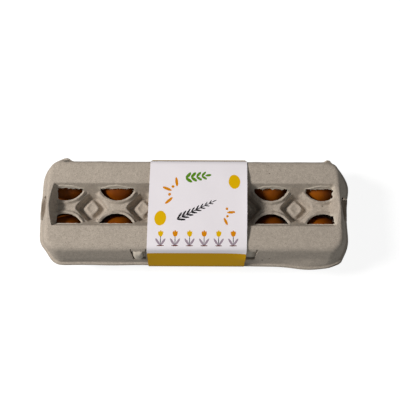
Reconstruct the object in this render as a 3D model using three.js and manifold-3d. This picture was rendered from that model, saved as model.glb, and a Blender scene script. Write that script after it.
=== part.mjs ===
// A closed moulded-pulp carton with twelve brown eggs in two rows of six, held shut by a paper band.
//
// Frame: millimetres, +Z up, origin under the middle of the carton on the surface it stands on.
// X runs along the carton, -Y is the front with the two lock tabs, +Y is the back with the hinge.
// Tray, lid and hinge are moulded in one piece of pulp, so they are one solid, open along the parting line.

import * as THREE from 'three';
import { mergeVertices } from 'three/addons/utils/BufferGeometryUtils.js';
import Module from 'manifold-3d';

const wasm = await Module();
wasm.setup();

// Driving dimensions
const pitch = 49;                // distance between neighbouring egg axes, along X and along Y
const columnCount = 6;
const wall = 1.8;                // thickness of the pulp
const gap = 0.35;                // clearance between touching pieces

const standZ = 0.8;              // underside of the tray's cups; the band passes below them
const rimZ = 37;                 // parting line between the tray and the lid
const topZ = 68;                 // top of the lid's two flat panels
const rimHalf = { x: 149.7, y: 53.5, cornerX: 24, cornerY: 29 };
const lidFootHalf = { x: 147.9, y: 51.7, cornerX: 22.5, cornerY: 27.5 };
const lidTopHalf = { x: 137.4, y: 42.3, cornerX: 12, cornerY: 12 };
const trayRimHalf = { x: 150.3, y: 54, cornerX: 19, cornerY: 23 };
const creaseReach = 5.5;         // how far the rounding of the lid's top edge runs along wall and panel

const channelTop = { x: 131.6, y: 20.9, bulge: 4 };
const channelFloor = { x: 129, y: 14, bulge: 1 };
const channelFloorZ = 53;
const pitTopZ = 56;
const pitTopReach = { x: 14.4, y: 15.6 };      // half the diagonals of the diamond pit between four eggs
const pitFloorReach = { x: 11.6, y: 10.6 };
const pitFloorZ = 44.5;
const padFootReach = { x: 11, y: 10 };
const padTopReach = { x: 6, y: 5.4 };
const padTopZ = 48.5;
const windowRadius = 18.1;
const windowTopZ = 59.5;
const windowRimWidth = 3.2;
const windowRimTopZ = 56;

const postFootReach = { x: 11.5, y: 11.5 };
const postTopReach = { x: 5.6, y: 5.2 };

const archHalfWidth = 11.5;
const archTopZ = 65;
const endLipTopZ = 52;

const slotX = 51.3;
const slotTopZ = 65.5;
const slotBottomZ = 47;
const slotTopHalf = 7.6;
const slotBottomHalf = 5.9;
const flapBottomZ = 59.5;
const nubHalfWidth = 4.6;

const hingeHalfLength = 126;

const eggHeight = 55.5;
const eggRadius = 21.6;
const eggWidestShare = 0.56;     // height of the widest place, from the pointed lower end

const bandWidth = 91.4;
const bandCentreX = 3.6;
const bandSkew = 0.022;          // the band sits a little askew: its edges drift along X with Y
const bandThickness = 0.45;
const bandBow = 1.6;             // the paper bows up over the lid's channel

const pulpGrey = 0xa99d8f;
const shellBrown = 0xa8622f;
const paperWhite = 0xe4dee3;

// Turning three.js geometry into solids and back

function solidOf(geometry) {
  const bare = geometry.index ? geometry.toNonIndexed() : geometry;
  const positions = new THREE.BufferGeometry().setAttribute('position', bare.getAttribute('position'));
  const merged = mergeVertices(positions, 1e-4);
  return new wasm.Manifold(new wasm.Mesh({
    numProp: 3,
    vertProperties: merged.attributes.position.array,
    triVerts: new Uint32Array(merged.index.array),
  }));
}

function geometryOf(solid) {
  const mesh = solid.getMesh();
  const geometry = new THREE.BufferGeometry();
  geometry.setAttribute('position', new THREE.BufferAttribute(new Float32Array(mesh.vertProperties), 3));
  geometry.setIndex(new THREE.BufferAttribute(new Uint32Array(mesh.triVerts), 1));
  geometry.computeVertexNormals();
  return geometry;
}

function joined(solids) {
  return solids.reduce((sum, solid) => sum.add(solid));
}

// A closed skin through rings of points, listed from the lowest up; every ring has as many points.
function loft(rings) {
  const count = rings[0].points.length;
  const positions = [];
  const faces = [];
  for (const ring of rings) {
    for (const point of ring.points) positions.push(point.x, point.y, ring.z);
  }
  for (let level = 0; level + 1 < rings.length; level++) {
    for (let i = 0; i < count; i++) {
      const a = level * count + i;
      const b = level * count + (i + 1) % count;
      faces.push(a, b, b + count, a, b + count, a + count);
    }
  }
  const last = rings.length - 1;
  for (const [level, turn] of [[0, 1], [last, 0]]) {
    const centre = positions.length / 3;
    const middle = rings[level].points.reduce((sum, p) => sum.add(p), new THREE.Vector2());
    middle.divideScalar(count);
    positions.push(middle.x, middle.y, rings[level].z);
    for (let i = 0; i < count; i++) {
      const a = level * count + i;
      const b = level * count + (i + 1) % count;
      faces.push(centre, turn ? b : a, turn ? a : b);
    }
  }
  const geometry = new THREE.BufferGeometry();
  geometry.setAttribute('position', new THREE.Float32BufferAttribute(positions, 3));
  geometry.setIndex(faces);
  return solidOf(geometry);
}

// Outlines seen from above, counter-clockwise

// A rectangle with corners rounded by quarter ellipses.
function roundedOutline({ x, y, cornerX, cornerY }, steps = 6) {
  const points = [];
  const corners = [[1, 1, 0], [-1, 1, 1], [-1, -1, 2], [1, -1, 3]];
  for (const [signX, signY, quarter] of corners) {
    for (let i = 0; i <= steps; i++) {
      const angle = (quarter + i / steps) * Math.PI / 2;
      const centreX = signX * (x - cornerX);
      const centreY = signY * (y - cornerY);
      points.push(new THREE.Vector2(centreX + cornerX * Math.cos(angle), centreY + cornerY * Math.sin(angle)));
    }
  }
  return points;
}

// A diamond with its corners on the axes and slightly rounded, grown sideways by grow.
function diamondOutline(reach, grow = 0) {
  const half = { x: Math.SQRT1_2, y: Math.SQRT1_2, cornerX: 0.13, cornerY: 0.13 };
  const square = roundedOutline(half, 1).map((p) => p.rotateAround(new THREE.Vector2(), Math.PI / 4));
  return square.map((p) => new THREE.Vector2(p.x * (reach.x + grow) * 1.05, p.y * (reach.y + grow) * 1.05));
}

// The lid's channel: straight long sides, and ends that bulge outwards in the middle.
function channelOutline({ x, y, bulge }) {
  return [[x, -y], [x + bulge, 0], [x, y], [-x, y], [-x - bulge, 0], [-x, -y]]
    .map(([px, py]) => new THREE.Vector2(px, py));
}

// A rounded square for the cups: a superellipse, rounder with a smaller power.
function cupOutline(radius, power, steps = 16) {
  const points = [];
  for (let i = 0; i < steps; i++) {
    const angle = i / steps * Math.PI * 2;
    const c = Math.cos(angle);
    const s = Math.sin(angle);
    const reach = radius / (Math.abs(c) ** power + Math.abs(s) ** power) ** (1 / power);
    points.push(new THREE.Vector2(reach * c, reach * s));
  }
  return points;
}

function mixed(from, to, share) {
  const mix = (key) => from[key] + (to[key] - from[key]) * share;
  return { x: mix('x'), y: mix('y'), cornerX: mix('cornerX'), cornerY: mix('cornerY') };
}

function grown(half, by) {
  return { x: half.x + by, y: half.y + by, cornerX: half.cornerX + by, cornerY: half.cornerY + by };
}

// Plain blocks and cylinders

function box(low, high) {
  const size = high.map((v, i) => v - low[i]);
  const geometry = new THREE.BoxGeometry(...size);
  geometry.translate(...low.map((v, i) => v + size[i] / 2));
  return solidOf(geometry);
}

function uprightCone(radiusTop, radiusBottom, lowZ, highZ, x, y, sides = 24) {
  const geometry = new THREE.CylinderGeometry(radiusTop, radiusBottom, highZ - lowZ, sides);
  geometry.rotateX(Math.PI / 2).translate(x, y, (lowZ + highZ) / 2);
  return solidOf(geometry);
}

// A flat shape in the XZ plane, extruded along Y.
function plateAlongY(points, lowY, highY) {
  const shape = new THREE.Shape(points.map(([x, z]) => new THREE.Vector2(x, z)));
  const geometry = new THREE.ExtrudeGeometry(shape, { depth: highY - lowY, bevelEnabled: false });
  geometry.rotateX(Math.PI / 2).translate(0, highY, 0);
  return solidOf(geometry);
}

const columnXs = Array.from({ length: columnCount }, (_, i) => (i - (columnCount - 1) / 2) * pitch);
const rowYs = [-pitch / 2, pitch / 2];
const cells = columnXs.flatMap((x) => rowYs.map((y) => ({ x, y })));
const postXs = columnXs.slice(0, -1).map((x) => x + pitch / 2);

// The lid

// The lid's tapered body, taken in by inset: the outer skin with 0, the inner skin with the wall.
function lidBody(inset, lowZ) {
  const foot = grown(lidFootHalf, -inset);
  const crease = grown(lidTopHalf, -inset);
  const roofZ = topZ - inset;
  const footZ = rimZ + wall;
  const creaseStart = (roofZ - creaseReach - footZ) / (roofZ - footZ);
  const start = mixed(foot, crease, creaseStart);
  const panelEdge = grown(crease, -creaseReach);
  const rings = [{ half: foot, z: lowZ }, { half: foot, z: footZ }];
  for (const t of [0, 1 / 3, 2 / 3, 1]) {
    const half = mixed(mixed(start, crease, t), mixed(crease, panelEdge, t), t);
    const z = (1 - t) ** 2 * (roofZ - creaseReach) + (1 - (1 - t) ** 2) * roofZ;
    rings.push({ half, z });
  }
  return loft(rings.map(({ half, z }) => ({ points: roundedOutline(half), z })));
}

// The open channel along the lid, widened and deepened by grow for the underside of its pulp.
function channelSpace(grow) {
  const wider = (half) => ({ x: half.x + grow, y: half.y + grow, bulge: half.bulge });
  const floorZ = channelFloorZ - grow;
  const slope = (channelTop.y - channelFloor.y) / (topZ - channelFloorZ);
  const above = { x: channelTop.x, y: channelTop.y + slope, bulge: channelTop.bulge };
  return loft([
    { points: channelOutline(wider(channelFloor)), z: floorZ },
    { points: channelOutline(wider(channelTop)), z: topZ },
    { points: channelOutline(wider(above)), z: topZ + 1 },
  ]);
}

// The diamond pit that reaches down to a tray post, and the raised pad on its floor.
function pitSpace(x, grow) {
  return loft([
    { points: diamondOutline(pitFloorReach, grow * 1.2), z: pitFloorZ - grow },
    { points: diamondOutline(pitTopReach, grow * 1.2), z: pitTopZ },
  ]).translate([x, 0, 0]);
}

function pad(x, shrink) {
  return loft([
    { points: diamondOutline(padFootReach, -shrink), z: pitFloorZ - wall - 1 },
    { points: diamondOutline(padFootReach, -shrink), z: pitFloorZ - shrink },
    { points: diamondOutline(padTopReach, -shrink * 0.7), z: padTopZ - shrink },
  ]).translate([x, 0, 0]);
}

function windowRims() {
  const rims = cells.map(({ x, y }) => {
    const foot = windowRadius + windowRimWidth;
    const crest = windowRadius + windowRimWidth / 3;
    return uprightCone(crest, foot, channelFloorZ - wall, windowRimTopZ, x, y);
  });
  return joined(rims).intersect(channelSpace(wall / 2));
}

function windowCuts() {
  const reach = channelTop.y + 2;
  const middle = box([-channelTop.x, -reach, pitFloorZ - 5], [channelTop.x, reach, windowTopZ]);
  const cuts = cells.map(({ x, y }) => uprightCone(windowRadius, windowRadius, pitFloorZ - 4, topZ, x, y));
  return joined(cuts).intersect(middle).intersect(channelSpace(wall * 2));
}

// The thumb arches cut into the two end walls.
function archCuts() {
  const points = [];
  for (let i = 0; i <= 12; i++) {
    const angle = i / 12 * Math.PI;
    points.push([archHalfWidth * Math.cos(angle), rimZ + (archTopZ - rimZ) * Math.sin(angle)]);
  }
  points.push([-archHalfWidth, rimZ - 1], [archHalfWidth, rimZ - 1]);
  const prism = plateAlongY(points, -200, 200).rotate([0, 0, 90]);
  return prism.subtract(box([-134, -60, 0], [134, 60, topZ + 2])).subtract(channelSpace(wall));
}

function slotOutline(x, margin, lowZ) {
  const halfAt = (z) => {
    const share = (z - slotBottomZ) / (slotTopZ - slotBottomZ);
    return slotBottomHalf + (slotTopHalf - slotBottomHalf) * share - margin;
  };
  const [low, high] = [halfAt(lowZ), halfAt(slotTopZ)];
  return [[x - low, lowZ], [x + low, lowZ], [x + high, slotTopZ], [x - high, slotTopZ]];
}

// A lock slot in the front wall, and the flap above it that stays hinged at the top and is pushed in.
function withLockSlots(lid, shell) {
  const frontLow = -rimHalf.y - 1;
  const frontHigh = -lidTopHalf.y + 4;
  let cut = lid;
  for (const x of [-slotX, slotX]) {
    const flapPlate = plateAlongY(slotOutline(x, 0.8, flapBottomZ), frontLow, frontHigh);
    const flap = shell.intersect(flapPlate).translate([0, 0.9, -0.4]);
    const root = shell.intersect(box([x - slotTopHalf + 0.8, frontLow, slotTopZ - 1.6],
      [x + slotTopHalf - 0.8, frontHigh, slotTopZ + 0.5]));
    cut = cut.subtract(plateAlongY(slotOutline(x, 0, slotBottomZ), frontLow, frontHigh)).add(flap).add(root);
  }
  return cut;
}

function lidSolid() {
  const shell = lidBody(0, rimZ).subtract(lidBody(wall, rimZ - 1));
  const lip = loft([rimZ, rimZ + wall].map((z) => ({ points: roundedOutline(rimHalf), z })))
    .subtract(lidBody(wall, rimZ - 1));
  const hanging = joined([channelSpace(wall), ...postXs.map((x) => pitSpace(x, wall))]);
  const trough = hanging.intersect(lidBody(0, rimZ));
  const pads = joined(postXs.map((x) => pad(x, 0)));
  const padHollows = joined(postXs.map((x) => pad(x, wall)));
  const pits = joined(postXs.map((x) => pitSpace(x, 0))).subtract(pads);
  const moulded = joined([shell, lip, trough])
    .subtract(channelSpace(0))
    .add(windowRims())
    .subtract(pits)
    .subtract(padHollows)
    .subtract(windowCuts())
    .subtract(archCuts());
  return withLockSlots(moulded, shell);
}

// The tray

// One cup's skin, from its flat floor up; grow 0 is the inside where the egg sits.
function cupBody(grow, highZ) {
  const floorZ = standZ + wall + 0.2;
  const levels = [
    { z: floorZ, radius: 11.2, power: 2 },
    { z: floorZ + 1.6, radius: 13.8, power: 2 },
    { z: 13, radius: 18.6, power: 2.2 },
    { z: 22, radius: 22, power: 2.5 },
    { z: 29, radius: 24.2, power: 2.8 },
    { z: rimZ - gap, radius: 25.2, power: 3 },
  ];
  const rings = levels.map(({ z, radius, power }) => ({
    points: cupOutline(radius + grow, power),
    z: grow && z < floorZ + 2 ? z - wall - 0.2 : z,
  }));
  if (highZ > rimZ) rings.push({ points: rings.at(-1).points, z: highZ });
  return loft(rings);
}

// The hollow post between four cups that carries a pit of the lid.
function postBody(x, shrink) {
  const topOfPost = pitFloorZ - wall - gap;
  return loft([
    { points: diamondOutline(postFootReach, -shrink), z: shrink ? 25 : 26.6 },
    { points: diamondOutline(postTopReach, -shrink), z: topOfPost - shrink },
  ]).translate([x, 0, 0]);
}

function trayRim() {
  const outer = roundedOutline(trayRimHalf);
  const inner = roundedOutline({ x: 128, y: 30, cornerX: 12, cornerY: 12 });
  const levels = [rimZ - gap - wall, rimZ - gap];
  const plate = loft(levels.map((z) => ({ points: outer, z })));
  return plate.subtract(loft([levels[0] - 1, levels[1] + 1].map((z) => ({ points: inner, z }))));
}

// The upright lip at each end of the tray that shows in the lid's thumb arch.
function endLip(side) {
  const outerX = 145.3;
  const points = [[outerX, rimZ - gap - wall], [outerX - 3, endLipTopZ], [outerX - 3 - wall, endLipTopZ],
    [outerX - 0.8 - wall, rimZ - gap - wall]];
  const lip = plateAlongY(points, -archHalfWidth, archHalfWidth);
  const foot = box([outerX - wall, -archHalfWidth, rimZ - gap - wall], [149, archHalfWidth, rimZ - gap]);
  const made = lip.add(foot);
  return side > 0 ? made : made.rotate([0, 0, 180]);
}

// The lock tongue behind the front wall, with the nub that shows in the lid's slot.
function lockTongue(x) {
  const lean = (lidFootHalf.y - lidTopHalf.y) / (topZ - rimZ - wall);
  const faceY = (z) => -(lidFootHalf.y - lean * (z - rimZ - wall)) + wall * 1.1 + gap + 0.9;
  const [lowZ, highZ] = [rimZ - gap - wall, 61];
  const side = [[faceY(lowZ), lowZ], [faceY(lowZ) + wall, lowZ], [faceY(highZ) + wall, highZ], [faceY(highZ), highZ]];
  const tongue = plateAlongY(side, -6.4, 6.4).rotate([0, 0, 90]).mirror([1, 0, 0]);
  const foot = box([-6.4, -trayRimHalf.y + 1, lowZ], [6.4, faceY(lowZ) + wall, rimZ - gap]);
  const nubLow = slotBottomZ + 1.6;
  const nubHigh = flapBottomZ - 1.2;
  const reach = 3.4 + wall;
  const nub = loft([
    { points: nubOutline(nubHalfWidth * 0.55, reach * 0.7), z: nubLow },
    { points: nubOutline(nubHalfWidth * 0.85, reach), z: nubLow + 1.6 },
    { points: nubOutline(nubHalfWidth, reach), z: nubLow + 4.5 },
    { points: nubOutline(nubHalfWidth, reach * 0.86), z: nubHigh },
  ]);
  const leanMatrix = [1, 0, 0, 0, 0, 1, 0, 0, 0, lean, 1, 0, 0, faceY(0) + 0.6, 0, 1];
  return joined([tongue, foot, nub.transform(leanMatrix)]).translate([x, 0, 0]);
}

function nubOutline(half, reach) {
  const points = [new THREE.Vector2(half, 0), new THREE.Vector2(-half, 0)];
  for (let i = 0; i <= 6; i++) {
    const angle = Math.PI + i / 6 * Math.PI;
    points.push(new THREE.Vector2(half * Math.cos(angle), -reach * 0.55 + reach * 0.45 * Math.sin(angle)));
  }
  return points;
}

function traySolid() {
  const outers = joined(cells.map(({ x, y }) => cupBody(wall, rimZ - gap).translate([x, y, 0])));
  const insides = joined(cells.map(({ x, y }) => cupBody(0, rimZ + 4).translate([x, y, 0])));
  const within = loft([0, rimZ - gap].map((z) => ({ points: roundedOutline(trayRimHalf), z })));
  const web = loft([26.6, 28.4].map((z) => ({ points: roundedOutline({ x: 126, y: 27, cornerX: 6, cornerY: 6 }), z })));
  const cups = joined([outers.intersect(within), trayRim(), web]).subtract(insides);
  const posts = joined(postXs.map((x) => postBody(x, 0)));
  const postHollows = joined(postXs.map((x) => postBody(x, wall)));
  const upstands = [endLip(1), endLip(-1), lockTongue(-slotX), lockTongue(slotX)];
  return joined([cups, posts, ...upstands]).subtract(postHollows);
}

// The folded hinge that joins the two rims along the back.
function hinge() {
  const [low, high] = [rimZ - gap - wall, rimZ + wall];
  return box([-hingeHalfLength, trayRimHalf.y - wall, low], [hingeHalfLength, trayRimHalf.y, high]);
}

function cartonSolid() {
  return joined([traySolid(), lidSolid(), hinge()]);
}

// An egg, pointed end down, as a lathe profile that starts and ends on the axis
function eggGeometry(height, radius) {
  const steps = 10;
  const widest = height * eggWidestShare;
  const profile = [];
  for (let i = 0; i <= steps; i++) {
    const angle = -Math.PI / 2 + i / steps * Math.PI;
    const lower = angle < 0;
    const level = Math.sin(angle) * (lower ? widest : height - widest);
    const taper = lower ? 1 - 0.06 * Math.sin(angle) ** 2 : 1;
    const onAxis = i === 0 || i === steps;
    profile.push(new THREE.Vector2(onAxis ? 0 : radius * taper * Math.cos(angle), widest + level));
  }
  return new THREE.LatheGeometry(profile, 14).rotateX(Math.PI / 2);
}

// The paper band: a closed loop round the carton, seen along X
function bandLoop(offset) {
  const half = [
    [40.6, bandThickness], [trayRimHalf.y + 0.9, rimZ - 3.4], [trayRimHalf.y + 0.9, rimZ + 2.6],
    [lidTopHalf.y + 1.4, topZ - 3.6], [lidTopHalf.y + 0.1, topZ - 1.2], [lidTopHalf.y - 2.2, topZ + gap],
    [channelTop.y + 4, topZ + gap + bandBow * 0.7], [6, topZ + gap + bandBow],
  ];
  const loop = [...half, ...half.map(([y, z]) => [-y, z]).reverse()].map(([y, z]) => new THREE.Vector2(y, z));
  return loop.map((point, i) => {
    const before = loop[(i + loop.length - 1) % loop.length];
    const after = loop[(i + 1) % loop.length];
    const into = point.clone().sub(before).normalize();
    const out = after.clone().sub(point).normalize();
    const miter = new THREE.Vector2(into.y + out.y, -into.x - out.x).normalize();
    return point.clone().addScaledVector(miter, offset / miter.dot(new THREE.Vector2(into.y, -into.x)));
  });
}

function bandGeometry() {
  const shape = new THREE.Shape(bandLoop(bandThickness));
  shape.holes.push(new THREE.Path(bandLoop(0)));
  const geometry = new THREE.ExtrudeGeometry(shape, { depth: bandWidth, bevelEnabled: false });
  // The loop is drawn in the XY plane and extruded along Z: turn its plane to YZ and its depth to X.
  geometry.applyMatrix4(new THREE.Matrix4().makeBasis(
    new THREE.Vector3(0, 1, 0), new THREE.Vector3(0, 0, 1), new THREE.Vector3(1, 0, 0)));
  geometry.translate(bandCentreX - bandWidth / 2, 0, 0);
  return geometry.applyMatrix4(new THREE.Matrix4().makeShear(0, 0, bandSkew, 0, 0, 0));
}

// The finished group

function named(name, geometry, color, roughness) {
  const mesh = new THREE.Mesh(geometry, new THREE.MeshStandardMaterial({ color, roughness, metalness: 0 }));
  mesh.name = name;
  return mesh;
}

// Small differences from egg to egg, in a fixed order.
function eggMesh(cell, index) {
  const height = eggHeight + 0.9 * Math.sin(index * 2.3);
  const radius = eggRadius + 0.35 * Math.cos(index * 3.7);
  const egg = named(`egg_${index + 1}`, eggGeometry(height, radius), shellBrown, 0.5);
  egg.position.set(cell.x, cell.y, standZ + wall + 0.2 + gap);
  egg.rotation.z = index * 0.7;
  return egg;
}

const pack = new THREE.Group();
pack.add(named('carton', geometryOf(cartonSolid()), pulpGrey, 0.95));
cells.forEach((cell, index) => pack.add(eggMesh(cell, index)));
pack.add(named('band', bandGeometry(), paperWhite, 0.55));

export default pack;
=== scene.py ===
# %% [markdown]
# # A dozen brown eggs in a pulp carton
# The real thing is a closed carton of moulded paper pulp: a tray with twelve cups, and a lid whose sunken
# channel has a window over each egg. A paper band goes round the middle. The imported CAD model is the
# fixed frame: it says where everything is, and this lesson dresses it with finer shapes and true
# finishes.

# %% Load the fixed frame
import math

import bmesh
import bpy
import numpy as np
from mathutils import Matrix, Vector


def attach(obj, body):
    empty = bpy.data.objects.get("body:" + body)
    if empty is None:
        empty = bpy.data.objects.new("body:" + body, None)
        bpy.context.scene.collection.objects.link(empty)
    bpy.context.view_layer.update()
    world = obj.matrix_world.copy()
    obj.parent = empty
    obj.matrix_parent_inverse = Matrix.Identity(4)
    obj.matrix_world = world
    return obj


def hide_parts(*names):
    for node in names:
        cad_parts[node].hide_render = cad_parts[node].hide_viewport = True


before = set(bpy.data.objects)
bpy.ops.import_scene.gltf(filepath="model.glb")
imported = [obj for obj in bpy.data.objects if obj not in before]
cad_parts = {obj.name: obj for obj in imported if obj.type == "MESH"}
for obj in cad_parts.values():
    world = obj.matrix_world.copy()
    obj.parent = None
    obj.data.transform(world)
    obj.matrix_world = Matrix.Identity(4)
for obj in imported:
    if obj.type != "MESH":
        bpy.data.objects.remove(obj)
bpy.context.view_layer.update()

MM = 0.001

# %% [markdown]
# ## Small helpers
# Colours are given as sRGB hex values, but shaders count in linear light, so one function
# converts them. Node trees get long, so another adds a node with its settings and links in one call. Two
# more put an object into the scene and start a material.

# %% Helpers for colours, nodes, objects and materials
def srgb(code):
    parts = [int(code[i:i + 2], 16) / 255 for i in (1, 3, 5)]
    linear = [p / 12.92 if p <= 0.04045 else ((p + 0.055) / 1.055) ** 2.4 for p in parts]
    return (*linear, 1.0)


def add(tree, kind, inputs=None, **settings):
    """A node of that kind. inputs goes by socket name or place, and takes a value or another socket."""
    node = tree.nodes.new(kind)
    for key, value in settings.items():
        setattr(node, key, value)
    for key, value in (inputs or {}).items():
        if isinstance(value, bpy.types.NodeSocket):
            tree.links.new(value, node.inputs[key])
        else:
            node.inputs[key].default_value = value
    return node


def new_object(name, data):
    obj = bpy.data.objects.new(name, data)
    bpy.context.scene.collection.objects.link(obj)
    return obj


def new_material(name, values):
    """A material whose shader has these values, which go by the names of its sockets."""
    material = bpy.data.materials.new(name)
    material.use_nodes = True
    shader = material.node_tree.nodes["Principled BSDF"]
    for key, value in values.items():
        shader.inputs[key].default_value = value
    return material


# %% [markdown]
# ## The camera
# The photograph looks down on the lid, a little from the front. A fit of points measured in it gives the
# height angle, the distance and the focal length, and shows that the carton lies turned by a third of a
# degree.

# %% Camera
PHOTO_SIDE = 400
TARGET = Vector((0, 0, 68 * MM))
CAMERA_HEIGHT_ANGLE = math.radians(76.3)
CAMERA_DISTANCE = 511.4 * MM
FOCAL_PIXELS = 549.7
SENSOR_MM = 36
CARTON_TURN = math.radians(-0.36)
CAMERA_ROLL = math.radians(0.14)
TARGET_PIXEL = (193.9, 204.0)

right = Vector((math.cos(CARTON_TURN), -math.sin(CARTON_TURN), 0))
ahead = Vector((math.sin(CARTON_TURN), math.cos(CARTON_TURN), 0))
back = -ahead * math.cos(CAMERA_HEIGHT_ANGLE) + Vector((0, 0, math.sin(CAMERA_HEIGHT_ANGLE)))
up = back.cross(right)
rolled_right = right * math.cos(CAMERA_ROLL) - up * math.sin(CAMERA_ROLL)
rolled_up = right * math.sin(CAMERA_ROLL) + up * math.cos(CAMERA_ROLL)

camera = new_object("camera", bpy.data.cameras.new("camera"))
camera.matrix_world = Matrix.Translation(TARGET + back * CAMERA_DISTANCE) @ Matrix(
    (rolled_right, rolled_up, back)).transposed().to_4x4()
camera.data.sensor_width = SENSOR_MM
camera.data.lens = FOCAL_PIXELS * SENSOR_MM / PHOTO_SIDE
camera.data.shift_x = (PHOTO_SIDE / 2 - TARGET_PIXEL[0]) / PHOTO_SIDE
camera.data.shift_y = (TARGET_PIXEL[1] - PHOTO_SIDE / 2) / PHOTO_SIDE
camera.data.clip_start = 10 * MM
bpy.context.scene.camera = camera
print("lens in mm:", round(camera.data.lens, 1))

# %% [markdown]
# ## Light
# The photograph has one light from the left, about 45 degrees up, and only a weak surround that fills the
# shadows. An area light gives the first. It is near enough for the carton's far end to get less of it.
# The second is the world's colour, stronger from below the table's front and right, as if a pale wall
# stood there.

# %% Light
bpy.context.scene.view_settings.view_transform = "Standard"

KEY_FROM = Vector((-1.30, 0.04, 1.30))
KEY_SIZE = 0.46
KEY_WATTS = 30.4
KEY_TINT = "#fffdfa"
SURROUND = "#ecf0f1"
SURROUND_LEAST, SURROUND_MOST = 0.07, 0.43
SURROUND_FROM = (0.42, -0.71, -0.56)

key_data = bpy.data.lights.new("key_light", "AREA")
key_data.shape = "DISK"
key_data.size = KEY_SIZE
key_data.energy = KEY_WATTS
key_data.color = srgb(KEY_TINT)[:3]
key_light = new_object("key_light", key_data)
key_light.location = KEY_FROM
key_light.rotation_euler = (TARGET - KEY_FROM).to_track_quat("-Z", "Y").to_euler()

world = bpy.data.worlds.new("pale_surround")
world.use_nodes = True
surround = world.node_tree.nodes["Background"]
surround.inputs["Color"].default_value = srgb(SURROUND)
sky_place = add(world.node_tree, "ShaderNodeTexCoord").outputs["Generated"]
toward = add(world.node_tree, "ShaderNodeVectorMath", {0: sky_place, 1: SURROUND_FROM},
             operation="DOT_PRODUCT")
strength = add(world.node_tree, "ShaderNodeMapRange", {
    "Value": toward.outputs["Value"], "From Min": -1.0, "From Max": 1.0,
    "To Min": SURROUND_LEAST, "To Max": SURROUND_MOST})
world.node_tree.links.new(strength.outputs[0], surround.inputs["Strength"])
bpy.context.scene.world = world
print("key light:", round((TARGET - KEY_FROM).length, 2), "m from the carton")

# %% [markdown]
# ## Floor and backdrop
# The carton was photographed on plain white. A large pale card makes the floor, and a dome behind it
# closes the view from low angles. Only the camera sees the dome, so it adds no light of its own. Neither
# is part of the carton.

# %% Floor and backdrop
FLOOR_HALF, DOME_RADIUS = 3.0, 4.4
CARD_GREY, CARD_GLOW = "#8c8c8c", 0.88

floor_finish = new_material("matt_white_backdrop_card", {
    "Base Color": srgb(CARD_GREY), "Roughness": 0.9,
    "Emission Color": srgb("#ffffff"), "Emission Strength": CARD_GLOW})
backdrop_finish = new_material("plain_white_backdrop", {
    "Base Color": srgb("#000000"), "Specular IOR Level": 0.0,
    "Emission Color": srgb("#ffffff"), "Emission Strength": 1.0})

floor_corners = [(x * FLOOR_HALF, y * FLOOR_HALF, 0) for x, y in ((-1, -1), (1, -1), (1, 1), (-1, 1))]
floor_mesh = bpy.data.meshes.new("floor")
floor_mesh.from_pydata(floor_corners, [], [(0, 1, 2, 3)])
floor_mesh.materials.append(floor_finish)
floor = new_object("floor", floor_mesh)
floor.visible_diffuse = False
floor.visible_glossy = False

dome_shape = bmesh.new()
bmesh.ops.create_icosphere(dome_shape, subdivisions=3, radius=DOME_RADIUS)
dome_mesh = bpy.data.meshes.new("backdrop_dome")
dome_shape.to_mesh(dome_mesh)
dome_shape.free()
dome_mesh.materials.append(backdrop_finish)
dome = new_object("backdrop_dome", dome_mesh)
dome.visible_diffuse = False
dome.visible_glossy = False
dome.visible_transmission = False
dome.visible_shadow = False
print("floor", 2 * FLOOR_HALF, "m wide, dome", 2 * DOME_RADIUS, "m wide")

# %% [markdown]
# ## Sizes
# These are the sizes of the CAD model, in millimetres. Everything below follows from them, so that the
# fine shapes lie where the solids lie. An outline is given by half its length and width and by its
# corners' radii.

# %% Sizes of the carton
PITCH = 49.0
COLUMN_XS = [(i - 2.5) * PITCH for i in range(6)]
ROW_YS = (-PITCH / 2, PITCH / 2)
TOP_Z, RIM_Z, WALL = 68.0, 37.0, 1.8

LID_RIM = dict(x=149.7, y=53.5, cx=24, cy=29)
LID_FOOT = dict(x=147.9, y=51.7, cx=22.5, cy=27.5)
LID_CREASE = dict(x=137.4, y=42.3, cx=12, cy=12)
CREASE_REACH = 5.5
CHANNEL_HALF = 20.9
CHANNEL_FLOOR_HALF = 14.0
CHANNEL_FLOOR_Z = 53.0
CHANNEL_END = 131.6
CHANNEL_FLOOR_END = 129.0
END_BULGE = 4.0
WINDOW_RADIUS = 18.1
WINDOW_EDGE_Y = 17.0
WINDOW_EDGE_X = 130.2
print("egg axes along X in mm:", COLUMN_XS)

# %% [markdown]
# ## Maths for moulded surfaces
# Moulded pulp has no sharp inner corners, so surfaces meet through a soft minimum or maximum. It also is
# never quite flat: a sum of a few sine waves in random directions, drawn with a fixed seed, gives its
# unevenness.

# %% Soft joins and unevenness
def soft_min(a, b, reach):
    share = np.clip(0.5 + 0.5 * (b - a) / reach, 0, 1)
    return b + (a - b) * share - reach * share * (1 - share)


def soft_max(a, b, reach):
    return -soft_min(-a, -b, reach)


def ease(t):
    """A smooth step from 0 to 1."""
    t = np.clip(t, 0, 1)
    return t * t * (3 - 2 * t)


def uneven(x, y, wave, seed):
    """A smooth random unevenness, mostly between -1 and 1, with waves about that long."""
    draw = np.random.default_rng(seed)
    total = 0
    for _ in range(8):
        turn, phase, stretch = draw.uniform(0, 2 * np.pi), draw.uniform(0, 2 * np.pi), draw.uniform(0.6, 1.5)
        along = x * np.cos(turn) + y * np.sin(turn)
        total = total + np.sin(along * 2 * np.pi / (wave * stretch) + phase)
    return total / 3.5


# %% [markdown]
# ## Pits and pads
# Between each four eggs the channel sinks into a pit, and a low pad with a dished top stands in it, over
# the tray's post. Seen from above both are diamonds with rounded corners, and each slope runs between a
# small and a large diamond. A formula for the height says all that, without a mesh yet.

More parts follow.
